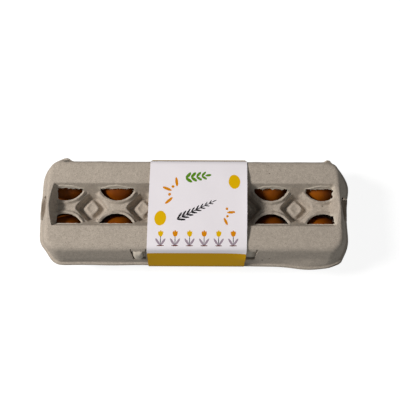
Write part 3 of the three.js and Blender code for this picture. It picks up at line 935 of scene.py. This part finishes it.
# %% End lips and hinge
LIP_PROFILE = [(150.0, RIM_JOIN_Z), (150.3, 38.4), (150.0, 39.5), (149.4, 39.8), (148.4, 39.0),
               (147.2, 37.9), (146.0, 36.9), (145.3, 37.1), (144.9, 39.0), (144.3, 41.5), (143.7, 44.0),
               (143.1, 46.8), (142.6, 49.4), (142.4, 51.4)]
LIP_HALF, LIP_STEPS, LIP_CORNER_DROP = 10.9, 18, 3.0
TROUGH_TOP_Z, LIP_FOOT_Z, LIP_HEIGHT = 39.9, 39, 12.4
HINGE_PROFILE = [(52.6, 39.2), (53.6, 38.8), (54.0, 37.8), (54.1, 36.6), (53.9, 35.4), (53.2, 34.8)]
HINGE_HALF, HINGE_COLUMNS = 126, 90


def end_lip_sheet(side):
    points = []
    for i in range(LIP_STEPS + 1):
        y = ARCH_Y - LIP_HALF + 2 * LIP_HALF * i / LIP_STEPS
        share = (abs(y - ARCH_Y) / LIP_HALF) ** 4
        for x, z in LIP_PROFILE:
            if z < TROUGH_TOP_Z:
                drop = z - TRAY_RIM_Z
            else:
                drop = LIP_CORNER_DROP * (z - LIP_FOOT_Z) / LIP_HEIGHT
            points.append((side * (x + 0.15 * float(uneven(y, z, 8, 61))), y, z - share * drop))
    faces = turned_over(net_faces(LIP_STEPS + 1, len(LIP_PROFILE)))
    return np.array(points), faces if side > 0 else faces[:, ::-1]


def hinge_sheet():
    points, faces = strip(np.linspace(-HINGE_HALF, HINGE_HALF, HINGE_COLUMNS), HINGE_PROFILE)
    points[:, 1] += 0.2 * uneven(points[:, 0], points[:, 2], 18, 67) - 0.1
    return points, faces[:, ::-1]


end_sheets = [end_lip_sheet(1), end_lip_sheet(-1), hinge_sheet()]
print("end lips and hinge:", sum(len(faces) for _, faces in end_sheets), "faces")

# %% [markdown]
# ## The finished tray
# Cells and upstands become one mesh. Points that lie on each other are welded, the rims are bent as the
# lid's are, and the nubs get part of the torn pulp's pale colour as a painted highlight, for the light they
# catch.

# %% Finish the tray's shape
TRAY_SHEET = 1.7
WELD = 0.02
NUB_PAINTED_LIGHT, NUB_FRONT_Y, NUB_LOW_Z = 0.6, -43.5, 47

all_points, all_faces = joined([(tray_points, tray_faces), *lock_sheets, *end_sheets])
all_points = bend_rims(all_points)
# Painted highlight: the nubs get a share of the pale torn colour for the light that falls on them.
on_nub = (all_points[:, 1] < NUB_FRONT_Y) & (all_points[:, 2] > NUB_LOW_Z)
tray = mesh_object("carton_tray", all_points, all_faces, {"torn_and_lit": NUB_PAINTED_LIGHT * on_nub}, weld=WELD)
tray = thickened(tray, TRAY_SHEET)
print("tray box in mm:", [round(v / MM, 1) for v in tray.dimensions])

# %% [markdown]
# ## Moulded paper pulp
# The carton is recycled paper, beaten to pulp and dried on a wire mould. It is matt and has no gloss at
# all. Close up it shows fine short fibres, soft lumps of some millimetres, and specks of old ink and
# board. Where it was torn, the inside of the sheet shows paler; the same pale is also a painted highlight
# on the ledges over the windows and on the tray's nubs. Three noises of real sizes give the fibres and
# lumps, and a pattern of cells with a random dot in some of them gives the specks.

# %% Pulp material
PULP_MID, PULP_DARK, PULP_PALE = "#b6aa9d", "#9d9286", "#cbbfb1"
TORN_AND_LIT_PALE = "#d9cfc0"
INK_SPECK, RUST_SPECK = "#4d423a", "#8a4a35"
LUMP_MM, FIBRE_MM, GRAIN_MM = 4.0, 1.5, 0.7
SPECK_CELL_MM, RUST_CELL_MM = 6.5, 19.0


def speckled(tree, place, colour, hue, cell_mm, plain, size, chance="Red", soft=0.02, strength=0.85):
    """Dots over a colour. plain is the share of cells without one, size the largest radius in cells."""
    cells = add(tree, "ShaderNodeTexVoronoi", {"Vector": place, "Scale": 1 / (cell_mm * MM)})
    pick = add(tree, "ShaderNodeSeparateColor", {"Color": cells.outputs["Color"]})
    reach = add(tree, "ShaderNodeMapRange", {"Value": pick.outputs[chance], "From Min": plain,
                                             "To Max": size})
    near = add(tree, "ShaderNodeMath", {0: reach.outputs[0], 1: cells.outputs["Distance"]},
               operation="SUBTRACT")
    mask = add(tree, "ShaderNodeMapRange", {"Value": near.outputs[0], "From Max": soft, "To Max": strength})
    return add(tree, "ShaderNodeMix", {0: mask.outputs[0], 6: colour, 7: srgb(hue)},
               data_type="RGBA").outputs[2]


def moulded_pulp():
    material = new_material("moulded_paper_pulp", {"Roughness": 0.95, "Specular IOR Level": 0.15})
    tree = material.node_tree
    shader = tree.nodes["Principled BSDF"]
    place = add(tree, "ShaderNodeTexCoord").outputs["Object"]
    lumps = add(tree, "ShaderNodeTexNoise", {"Vector": place, "Scale": 1 / (LUMP_MM * MM), "Detail": 3.0})
    fibres = add(tree, "ShaderNodeTexNoise", {"Vector": place, "Scale": 1 / (FIBRE_MM * MM), "Detail": 4.0,
                                              "Roughness": 0.65, "Distortion": 1.6})
    grain = add(tree, "ShaderNodeTexNoise", {"Vector": place, "Scale": 1 / (GRAIN_MM * MM), "Detail": 2.0})
    tone = add(tree, "ShaderNodeMath", {0: lumps.outputs["Fac"], 1: 0.12}, operation="MULTIPLY")
    tone = add(tree, "ShaderNodeMath", {0: fibres.outputs["Fac"], 1: 0.48, 2: tone.outputs[0]},
               operation="MULTIPLY_ADD")
    tone = add(tree, "ShaderNodeMath", {0: grain.outputs["Fac"], 1: 0.4, 2: tone.outputs[0]},
               operation="MULTIPLY_ADD")
    ramp = add(tree, "ShaderNodeValToRGB", {"Fac": tone.outputs[0]})
    ramp.color_ramp.elements[0].position, ramp.color_ramp.elements[0].color = 0.38, srgb(PULP_DARK)
    ramp.color_ramp.elements[1].position, ramp.color_ramp.elements[1].color = 0.63, srgb(PULP_PALE)
    ramp.color_ramp.elements.new(0.5).color = srgb(PULP_MID)

    colour = speckled(tree, place, ramp.outputs["Color"], INK_SPECK, SPECK_CELL_MM, plain=0.7, size=0.15)
    colour = speckled(tree, place, colour, RUST_SPECK, RUST_CELL_MM, plain=0.45, size=0.06)
    # Pale of torn pulp, and a painted highlight on the ledges over the windows and on the tray's nubs.
    torn_and_lit_here = add(tree, "ShaderNodeAttribute", attribute_name="torn_and_lit")
    colour = add(tree, "ShaderNodeMix", {0: torn_and_lit_here.outputs["Fac"], 6: colour, 7: srgb(TORN_AND_LIT_PALE)},
                 data_type="RGBA")
    tree.links.new(colour.outputs[2], shader.inputs["Base Color"])

    soft = add(tree, "ShaderNodeBump", {"Height": lumps.outputs["Fac"], "Strength": 0.55,
                                        "Distance": 0.6 * MM})
    rough_height = add(tree, "ShaderNodeMath", {0: grain.outputs["Fac"], 1: 0.5, 2: fibres.outputs["Fac"]},
                       operation="MULTIPLY_ADD")
    hairy = add(tree, "ShaderNodeBump", {"Height": rough_height.outputs[0], "Strength": 0.6,
                                         "Distance": 0.22 * MM, "Normal": soft.outputs["Normal"]})
    tree.links.new(hairy.outputs["Normal"], shader.inputs["Normal"])
    return material


pulp = moulded_pulp()
finished(lid, ["carton"], pulp)
finished(tray, ["carton"], pulp)

# %% [markdown]
# ## The shape of an egg
# Twelve eggs of one kind, each a little different, follow one rule: a ball whose lower half is drawn out
# and whose belly lies above the middle. Geometry Nodes fit this well, because one tree with named inputs
# makes all twelve. A slow noise with the egg's own seed keeps each of them from being quite regular.

# %% Egg tree
EGG_LOW_SHARE, EGG_TAPER = 0.56, 0.075
SWELL_LEAST, SWELL_MOST = 0.975, 1.01


def geometry_tree(name, inputs):
    """A tree that gives out geometry. Each row of inputs holds a name, a kind and a value."""
    tree = bpy.data.node_groups.new(name, "GeometryNodeTree")
    for label, kind, value in inputs:
        socket = tree.interface.new_socket(label, in_out="INPUT", socket_type="NodeSocket" + kind)
        if value is not None:
            socket.default_value = value
    tree.interface.new_socket("Geometry", in_out="OUTPUT", socket_type="NodeSocketGeometry")
    return tree


def egg_tree():
    tree = geometry_tree("hen_egg", (
        ("Length", "Float", 55.5 * MM), ("Radius", "Float", 21.6 * MM), ("Lean", "Vector", (0, 0, 0)),
        ("Place", "Vector", (0, 0, 0)), ("Seed", "Float", 0.0), ("Shell", "Material", None)))
    given = add(tree, "NodeGroupInput").outputs
    ball = add(tree, "GeometryNodeMeshUVSphere", {"Segments": 72, "Rings": 44, "Radius": 1.0})
    here = add(tree, "GeometryNodeInputPosition").outputs[0]
    height = add(tree, "ShaderNodeSeparateXYZ", {0: here}).outputs["Z"]
    below = add(tree, "ShaderNodeMath", {0: height, 1: 0.0}, operation="MINIMUM")
    taper = add(tree, "ShaderNodeMath", {0: below.outputs[0], 1: below.outputs[0]}, operation="MULTIPLY")
    slim = add(tree, "ShaderNodeMath", {0: taper.outputs[0], 1: -EGG_TAPER, 2: 1.0},
               operation="MULTIPLY_ADD")
    across = add(tree, "ShaderNodeMath", {0: slim.outputs[0], 1: given["Radius"]}, operation="MULTIPLY")
    halves = add(tree, "ShaderNodeMapRange", {"Value": height, "From Min": -0.001, "From Max": 0.001,
                                              "To Min": EGG_LOW_SHARE, "To Max": 1 - EGG_LOW_SHARE})
    tall = add(tree, "ShaderNodeMath", {0: halves.outputs[0], 1: given["Length"]}, operation="MULTIPLY")
    wander = add(tree, "ShaderNodeTexNoise", {"Vector": here, "W": given["Seed"], "Scale": 0.9,
                                              "Detail": 0.0}, noise_dimensions="4D")
    swell = add(tree, "ShaderNodeMapRange", {"Value": wander.outputs["Fac"], "To Min": SWELL_LEAST,
                                             "To Max": SWELL_MOST})
    size = add(tree, "ShaderNodeCombineXYZ", {0: across.outputs[0], 1: across.outputs[0],
                                              2: tall.outputs[0]})
    size = add(tree, "ShaderNodeVectorMath", {0: size.outputs[0], "Scale": swell.outputs[0]},
               operation="SCALE")
    point = add(tree, "ShaderNodeVectorMath", {0: here, 1: size.outputs[0]}, operation="MULTIPLY")
    shaped = add(tree, "GeometryNodeSetPosition", {"Geometry": ball.outputs["Mesh"],
                                                   "Position": point.outputs[0]})
    leaned = add(tree, "GeometryNodeTransform", {"Geometry": shaped.outputs[0], "Rotation": given["Lean"]})
    placed = add(tree, "GeometryNodeTransform", {"Geometry": leaned.outputs[0],
                                                 "Translation": given["Place"]})
    real = add(tree, "GeometryNodeRealizeInstances", {"Geometry": placed.outputs[0]})
    dressed = add(tree, "GeometryNodeSetMaterial", {"Geometry": real.outputs[0], "Material": given["Shell"]})
    add(tree, "NodeGroupOutput", {0: dressed.outputs[0]})
    return tree


egg_shape = egg_tree()
print("egg tree:", len(egg_shape.nodes), "nodes")

# %% [markdown]
# ## Brown eggshell
# A brown eggshell is calcium carbonate with a pigment that sits in its outer skin. It has a low, silky
# gloss, fine pores, a slow drift of tone from egg to egg, and a few darker freckles.

# %% Eggshell material
SHELL_MID, SHELL_PALE, SHELL_DEEP, FRECKLE = "#7f3f03", "#964f06", "#6a3002", "#361503"
TONE_MM, PORE_MM, FRECKLE_CELL_MM = 24.0, 0.9, 4.2


def brown_eggshell():
    material = new_material("brown_eggshell", {"Roughness": 0.42, "IOR": 1.5, "Specular IOR Level": 0.16})
    tree = material.node_tree
    shader = tree.nodes["Principled BSDF"]
    place = add(tree, "ShaderNodeTexCoord").outputs["Object"]
    drift = add(tree, "ShaderNodeTexNoise", {"Vector": place, "Scale": 1 / (TONE_MM * MM), "Detail": 2.0})
    tone = add(tree, "ShaderNodeValToRGB", {"Fac": drift.outputs["Fac"]})
    tone.color_ramp.elements[0].position, tone.color_ramp.elements[0].color = 0.35, srgb(SHELL_DEEP)
    tone.color_ramp.elements[1].position, tone.color_ramp.elements[1].color = 0.66, srgb(SHELL_PALE)
    tone.color_ramp.elements.new(0.5).color = srgb(SHELL_MID)
    colour = speckled(tree, place, tone.outputs["Color"], FRECKLE, FRECKLE_CELL_MM, plain=0.66, size=0.16,
                      chance="Green", soft=0.03, strength=0.55)
    tree.links.new(colour, shader.inputs["Base Color"])
    pores = add(tree, "ShaderNodeTexNoise", {"Vector": place, "Scale": 1 / (PORE_MM * MM), "Detail": 2.0})
    bump = add(tree, "ShaderNodeBump", {"Height": pores.outputs["Fac"], "Strength": 0.25,
                                        "Distance": 0.08 * MM})
    tree.links.new(bump.outputs["Normal"], shader.inputs["Normal"])
    return material


eggshell = brown_eggshell()
print("eggshell:", len(eggshell.node_tree.nodes), "nodes")

# %% [markdown]
# ## Twelve eggs
# Each egg stands in its cup with its blunt end up. Its size, its lean and its place vary by sines of its
# number, which look random and never change. The front row and three eggs of the back row are shorter:
# their windows are darker in the photograph, so their tops lie deeper.

# %% Make the eggs
EGG_FLOOR_Z = 3.25
EGG_LENGTH, LENGTH_VARIES = 54.9, 0.8
EGG_RADIUS, RADIUS_VARIES = 21.3, 0.3
EGG_LEAN_DEGREES = 3
SHIFT_X, SHIFT_Y = 0.5, 0.4
FRONT_ROW_SHORTER = 2.6
BACK_ROW_SHORTER = {2: 4.8, 10: 1.4, 12: 1.4}


def grown_by_nodes(obj, tree, values):
    """Gives the object what the tree makes, as a plain mesh. values goes by the tree's input names."""
    modifier = obj.modifiers.new(tree.name, "NODES")
    modifier.node_group = tree
    ids = {item.name: item.identifier for item in tree.interface.items_tree if item.in_out == "INPUT"}
    for key, value in values.items():
        modifier[ids[key]] = value
    return baked(obj)


for number, (column, row) in enumerate(((x, y) for x in COLUMN_XS for y in ROW_YS), start=1):
    shorter = FRONT_ROW_SHORTER if row < 0 else BACK_ROW_SHORTER.get(number, 0)
    length = EGG_LENGTH + LENGTH_VARIES * math.sin((number - 1) * 2.3) - shorter
    radius = EGG_RADIUS + RADIUS_VARIES * math.cos((number - 1) * 3.7)
    lean_x = math.radians(EGG_LEAN_DEGREES * math.sin(number * 1.9))
    lean_y = math.radians(EGG_LEAN_DEGREES * math.cos(number * 2.7))
    x = column + SHIFT_X * math.sin(number * 5.1)
    y = row + SHIFT_Y * math.cos(number * 4.3)
    z = EGG_FLOOR_Z + EGG_LOW_SHARE * length
    name = f"egg_shell_{number}"
    egg = grown_by_nodes(new_object(name, bpy.data.meshes.new(name)), egg_shape, {
        "Length": length * MM, "Radius": radius * MM, "Lean": (lean_x, lean_y, number * 0.7),
        "Place": (x * MM, y * MM, z * MM), "Seed": float(number), "Shell": eggshell})
    finished(egg, [f"egg_{number}"], eggshell)

# %% [markdown]
# ## Torn fibres
# Along the torn edges of the windows single fibres of paper stick out. They are hair-thin and less than
# three millimetres long. Geometry Nodes walk along the edge of the sheet, set a fibre every half
# millimetre or so and turn it at random.

# %% Fibre tree
def fibre_tree():
    tree = geometry_tree("torn_fibres", (
        ("Geometry", "Geometry", None), ("Spacing", "Float", 0.6 * MM), ("Length", "Float", 1.5 * MM),
        ("Thickness", "Float", 0.09 * MM), ("Seed", "Int", 4), ("Fibre", "Material", None)))
    given = add(tree, "NodeGroupInput").outputs
    edge = add(tree, "GeometryNodeMeshToCurve", {"Mesh": given["Geometry"]})
    walk = add(tree, "GeometryNodeResampleCurve", {"Curve": edge.outputs[0], "Length": given["Spacing"]},
               mode="LENGTH")
    bow = add(tree, "GeometryNodeCurveQuadraticBezier", {
        "Resolution": 4, "Start": (0, 0, 0), "Middle": (0.15, 0.1, 0.55), "End": (0.0, 0.25, 1.0)})
    section = add(tree, "GeometryNodeCurvePrimitiveCircle", {"Resolution": 3, "Radius": 1.0})
    slim = add(tree, "ShaderNodeMath", {0: given["Thickness"], 1: given["Length"]}, operation="DIVIDE")
    hair = add(tree, "GeometryNodeCurveToMesh", {
        "Curve": bow.outputs[0], "Profile Curve": section.outputs[0], "Scale": slim.outputs[0],
        "Fill Caps": True})
    turn = add(tree, "FunctionNodeRandomValue", {0: (-0.5, 0.6, 0.0), 1: (0.9, 2.2, 6.28),
                                                 "Seed": given["Seed"]}, data_type="FLOAT_VECTOR")
    stretch = add(tree, "FunctionNodeRandomValue", {2: 0.35, 3: 1.0, "Seed": given["Seed"]},
                  data_type="FLOAT")
    long = add(tree, "ShaderNodeMath", {0: stretch.outputs[1], 1: given["Length"]}, operation="MULTIPLY")
    set_out = add(tree, "GeometryNodeInstanceOnPoints", {
        "Points": walk.outputs[0], "Instance": hair.outputs[0], "Rotation": turn.outputs[0],
        "Scale": long.outputs[0]})
    real = add(tree, "GeometryNodeRealizeInstances", {"Geometry": set_out.outputs[0]})
    dressed = add(tree, "GeometryNodeSetMaterial", {"Geometry": real.outputs[0], "Material": given["Fibre"]})
    add(tree, "NodeGroupOutput", {0: dressed.outputs[0]})
    return tree


# %% [markdown]
# ## Where the fibres grow
# The fibres need the torn edges as lines. The faces beside the windows' edge give them: an edge between
# two torn points that belongs to one face only is on the border. The fibres are plain paper, paler than
# the pulp's skin, and matt.

# %% Fibres on the torn edges
TORN_EDGE_Y, TORN_END_X = 15.6, WINDOW_EDGE_X - 1

fibre_finish = new_material("loose_paper_fibre", {"Base Color": srgb(TORN_AND_LIT_PALE), "Roughness": 0.9})
edge_points = lid_points[window_edge]
torn_edge = (edge_points[:, 1] > TORN_EDGE_Y) | (edge_points[:, 0] > TORN_END_X)
torn_ids = set(window_edge[torn_edge].tolist())
edge_pairs = set()
for face in lid_faces[np.isin(lid_faces, window_edge).sum(axis=1) >= 2].tolist():
    for a, b in zip(face, face[1:] + face[:1]):
        if a in torn_ids and b in torn_ids:
            edge_pairs.symmetric_difference_update({(min(a, b), max(a, b))})
numbers = {old: new for new, old in enumerate(sorted({i for pair in edge_pairs for i in pair}))}
torn_mesh = bpy.data.meshes.new("torn_fibres")
torn_mesh.from_pydata([(lid_points[old] * MM).tolist() for old in numbers],
                      [(numbers[a], numbers[b]) for a, b in edge_pairs], [])
fibres = grown_by_nodes(new_object("torn_fibres", torn_mesh), fibre_tree(), {"Fibre": fibre_finish})
finished(fibres, [], fibre_finish)

# %% [markdown]
# ## The paper band
# The band is one strip of thin coated paper, glued to a loop. It lies tight round the creases, bows up a
# little over the channel, and is a touch askew. A smooth path through the corners, repeated across the
# width, makes it. The path has a back and a front half, because the back wall is bent in along the hinge.

# %% Path of the band
BAND_TOP = [(0, 70.4), (8, 70.35), (25, 69.9), (40.3, 68.8), (42.8, 67.1)]
BAND_BACK = BAND_TOP[:3] + [(39.0, 68.8), (41.8, 67.0), (43.0, 64.6), (52.1, 39.6), (52.1, 36.0),
                            (51.7, 28.5), (40.7, 0.0), (0, 0.0)]
BAND_FRONT = BAND_TOP + [(44.0, 64.6), (54.1, 39.6), (54.1, 33.6), (40.7, 0.0), (0, 0.0)]
CORNER_REACH, CORNER_STEPS, ROW_SPACING = 4.0, 8, 1.1


def rounded_path(corners, reach, steps):
    path = [np.array(corners[0], float)]
    for before, corner, after in zip(corners, corners[1:], corners[2:]):
        before, corner, after = (np.array(p, float) for p in (before, corner, after))
        to_before, to_after = before - corner, after - corner
        near = min(reach, 0.45 * np.linalg.norm(to_before), 0.45 * np.linalg.norm(to_after))
        start = corner + to_before / np.linalg.norm(to_before) * near
        end = corner + to_after / np.linalg.norm(to_after) * near
        path += [curve(start, corner, end, i / steps) for i in range(steps + 1)]
    path.append(np.array(corners[-1], float))
    return np.array(path)


def evenly(path, spacing):
    """The same path with points at even distances, and each point's distance from the start."""
    run = np.concatenate([[0], np.cumsum(np.linalg.norm(np.diff(path, axis=0), axis=1))])
    marks = np.linspace(0, run[-1], int(run[-1] / spacing) + 1)
    return np.column_stack([np.interp(marks, run, path[:, k]) for k in range(2)]), marks


back_half, back_run = evenly(rounded_path(BAND_BACK, CORNER_REACH, CORNER_STEPS), ROW_SPACING)
front_half, front_run = evenly(rounded_path(BAND_FRONT, CORNER_REACH, CORNER_STEPS), ROW_SPACING)
band_path = np.concatenate([back_half, front_half[-2:0:-1] * [-1, 1]])
band_run = np.concatenate([back_run, -front_run[-2:0:-1]])
print("band path in mm:", round(float(back_run[-1] + front_run[-1]), 1))

# %% [markdown]
# ## The band's sheet
# Over the channel the paper lifts off the lid at its edges, more at the right one, and cockles a little.
# In front it gives way to the nubs. A UV map counts millimetres along and across the paper, so that the
# print follows the bends. Both ends of the count meet under the tray, where no face may span the jump.

# %% Sheet of the band
BAND_WIDTH, BAND_CENTRE_X, BAND_SKEW, BAND_PAPER = 91.4, 3.6, 0.022, 0.3
CROSS_STEPS = 60
EDGE_LIFT, LEFT_EDGE_SHARE, EDGE_FADE = 1.2, 0.3, 8
LIFT_HALF_Y, COCKLE_HALF_Y, PANEL_FROM_Z = 38, 36, 66
COCKLE = 0.12
NUB_PUSH, NUB_MIDDLE_Z, NUB_PUSH_RUN, NUB_WALL_Y = 1.7, 56, 8, -40
UV_PER_MM = 0.01

across = np.linspace(0, BAND_WIDTH, CROSS_STEPS + 1)
band_points, band_faces = [], []
for y, z in band_path:
    on_top = z > PANEL_FROM_Z
    lift = EDGE_LIFT * max(1 - (y / LIFT_HALF_Y) ** 2, 0) if on_top else 0.0
    push = NUB_PUSH * math.exp(-((z - NUB_MIDDLE_Z) / NUB_PUSH_RUN) ** 2) if y < NUB_WALL_Y else 0.0
    for u in across:
        edge = math.exp(-(BAND_WIDTH - u) / EDGE_FADE) + LEFT_EDGE_SHARE * math.exp(-u / EDGE_FADE)
        wave = COCKLE * float(uneven(u, y, 34, 71)) * on_top * (abs(y) < COCKLE_HALF_Y)
        x = BAND_CENTRE_X - BAND_WIDTH / 2 + u + BAND_SKEW * y
        band_points.append((x, y - edge * push, z + edge * lift + wave))
count, rows = len(across), len(band_path)
for i in range(rows):
    for j in range(count - 1):
        a, b = i * count + j, ((i + 1) % rows) * count + j
        band_faces.append((a, a + 1, b + 1, b))
band = mesh_object("paper_band", band_points, band_faces)

uv = band.data.uv_layers.new(name="print")
corner_vertex = np.empty(len(band.data.loops), int)
band.data.loops.foreach_get("vertex_index", corner_vertex)
row_of, cross_of = corner_vertex // count, corner_vertex % count
seam_row = len(back_half) - 1
past_seam = (row_of.reshape(-1, 4).max(axis=1) == seam_row + 1).repeat(4)
along = np.where(past_seam & (row_of == seam_row), -front_run[-1], band_run[row_of])
uv_values = np.column_stack([across[cross_of] * UV_PER_MM, along * UV_PER_MM])
uv.data.foreach_set("uv", uv_values.ravel().astype(np.float32))
band = thickened(band, BAND_PAPER)
print("band box in mm:", [round(v / MM, 1) for v in band.dimensions])

# %% [markdown]
# ## Motifs of the print
# The print is plain: a pale field with mustard ends, two yellow dots, short orange dashes, a sprig of
# green leaves, an ear of grain in dark ink, and a row of small tulips. Every motif is an ellipse, given
# by its middle, half its length and width, and its turn in degrees. Leaves and grains leave their stem in
# pairs.

# %% Motifs
TULIPS, FIRST_TULIP_X, TULIP_PITCH = 6, 12.4, 13.3


def petal(x, y, turn, out, half_long, half_wide):
    """An ellipse that points in the direction turn. Its middle is that far out from x, y."""
    angle = math.radians(turn)
    return (x + math.cos(angle) * out, y + math.sin(angle) * out, half_long, half_wide, turn)


def sprig(x, y, turn, pairs, step, length, width, spread):
    """Pairs of leaves along a stem, ever smaller and at an angle either side of it, and one at its tip."""
    shapes = []
    for i in range(pairs):
        size = 1 - 0.07 * i
        joint = petal(x, y, turn, step * i, 0, 0)[:2]
        shapes += [petal(*joint, turn + side * spread, length * size, length * size, width * size)
                   for side in (-1, 1)]
    shapes.append(petal(x, y, turn, step * pairs + length * size * 0.4, length * size, width * size))
    return shapes


def burst(x, y, turns, near, far, width):
    """Dashes round a point, with every second one shorter."""
    reaches = [far if k % 2 == 0 else (near + far) * 0.42 for k in range(len(turns))]
    return [petal(x, y, turn, (near + reach) / 2, (reach - near) / 2, width)
            for turn, reach in zip(turns, reaches)]


yellow_dots = [(79.5, 21.0, 6.9, 5.4, 96), (11.5, -14.0, 6.9, 5.4, 84)]
orange_dashes = burst(27, 10, (98, 128, 158, 190, 222), near=6.5, far=15.5, width=1.35)
orange_dashes += burst(68, -9, (-64, -30, 4, 40), near=5, far=12.5, width=1.2)
green_leaves = sprig(34, 24.5, turn=8, pairs=4, step=5.0, length=3.6, width=1.5, spread=42)
ink_strokes = sprig(27, -15, turn=27, pairs=8, step=4.7, length=3.9, width=0.95, spread=30)
ink_strokes.append((44, -6.3, 19.5, 0.4, 27))
tulip_leaves, orange_heads, yellow_heads, ground_strokes = [], [], [], []
for k in range(TULIPS):
    x = FIRST_TULIP_X + TULIP_PITCH * k
    heads = orange_heads if k % 2 else yellow_heads
    heads += [(x - 1.1, -28.6, 2.5, 1.1, 106), (x + 1.1, -28.6, 2.5, 1.1, 74), (x, -28.0, 2.8, 1.0, 90)]
    tulip_leaves += [(x - 2.4, -35.9, 3.7, 1.0, 124), (x + 2.4, -35.9, 3.7, 1.0, 56)]
    ink_strokes.append((x, -34.6, 4.4, 0.36, 90))
    ground_strokes.append((x, -39.4, 3.4, 0.5, 0))
print("motifs:", len(yellow_dots), "dots,", len(orange_dashes), "dashes,", TULIPS, "tulips")

# %% [markdown]
# ## Coated printed paper
# The band's paper is smooth, white and lightly coated, so it has a faint sheen over flat colours. A
# Mapping node carries the paper's millimetres into each ellipse's own space, where its edge is one unit
# from the middle, so no picture is needed. A weak, wide bump keeps the sheet from looking like glass.

# %% Print material
PAPER_WHITE, MUSTARD, YELLOW, ORANGE = "#faf4f9", "#d7a200", "#ebba00", "#e08c05"
LEAF_GREEN, INK, MAUVE, BARK = "#5f8f1c", "#2f2d30", "#a493a0", "#6b3220"
MUSTARD_FRONT, MUSTARD_BACK = -49.0, 45.0
COCKLE_WAVE_MM = 14.0
PRINTED = ((yellow_dots, YELLOW), (orange_dashes, ORANGE), (green_leaves, LEAF_GREEN), (ink_strokes, INK),
           (tulip_leaves, MAUVE), (orange_heads, ORANGE), (yellow_heads, YELLOW), (ground_strokes, BARK))


def coated_paper():
    material = new_material("coated_printed_paper", {
        "Roughness": 0.48, "IOR": 1.5, "Specular IOR Level": 0.1})
    tree = material.node_tree
    shader = tree.nodes["Principled BSDF"]
    flat = add(tree, "ShaderNodeUVMap", uv_map="print")
    paper_mm = add(tree, "ShaderNodeVectorMath", {0: flat.outputs[0], "Scale": 1 / UV_PER_MM},
                   operation="SCALE").outputs[0]
    colour = add(tree, "ShaderNodeRGB").outputs[0]
    colour.default_value = srgb(PAPER_WHITE)
    for shapes, hue in PRINTED:
        nearest = None
        for x, y, half_long, half_wide, turn in shapes:
            own = add(tree, "ShaderNodeMapping", {
                "Vector": paper_mm, "Location": (x, y, 0), "Rotation": (0, 0, math.radians(turn)),
                "Scale": (half_long, half_wide, 1)}, vector_type="TEXTURE")
            away = add(tree, "ShaderNodeVectorMath", {0: own.outputs[0]},
                       operation="LENGTH").outputs["Value"]
            nearest = away if nearest is None else add(tree, "ShaderNodeMath", {0: nearest, 1: away},
                                                       operation="MINIMUM").outputs[0]
        printed = add(tree, "ShaderNodeMath", {0: nearest, 1: 1.0}, operation="LESS_THAN")
        colour = add(tree, "ShaderNodeMix", {0: printed.outputs[0], 6: colour, 7: srgb(hue)},
                     data_type="RGBA").outputs[2]
    run = add(tree, "ShaderNodeSeparateXYZ", {0: paper_mm}).outputs["Y"]
    front = add(tree, "ShaderNodeMath", {0: run, 1: MUSTARD_FRONT}, operation="LESS_THAN")
    rear = add(tree, "ShaderNodeMath", {0: run, 1: MUSTARD_BACK}, operation="GREATER_THAN")
    ends = add(tree, "ShaderNodeMath", {0: front.outputs[0], 1: rear.outputs[0]}, operation="MAXIMUM")
    colour = add(tree, "ShaderNodeMix", {0: ends.outputs[0], 6: colour, 7: srgb(MUSTARD)},
                 data_type="RGBA").outputs[2]
    tree.links.new(colour, shader.inputs["Base Color"])
    cockle = add(tree, "ShaderNodeTexNoise", {"Vector": paper_mm, "Scale": 1 / COCKLE_WAVE_MM,
                                              "Detail": 1.0})
    bump = add(tree, "ShaderNodeBump", {"Height": cockle.outputs["Fac"], "Strength": 0.2,
                                        "Distance": 0.5 * MM})
    tree.links.new(bump.outputs["Normal"], shader.inputs["Normal"])
    return material


finished(band, ["band"], coated_paper())
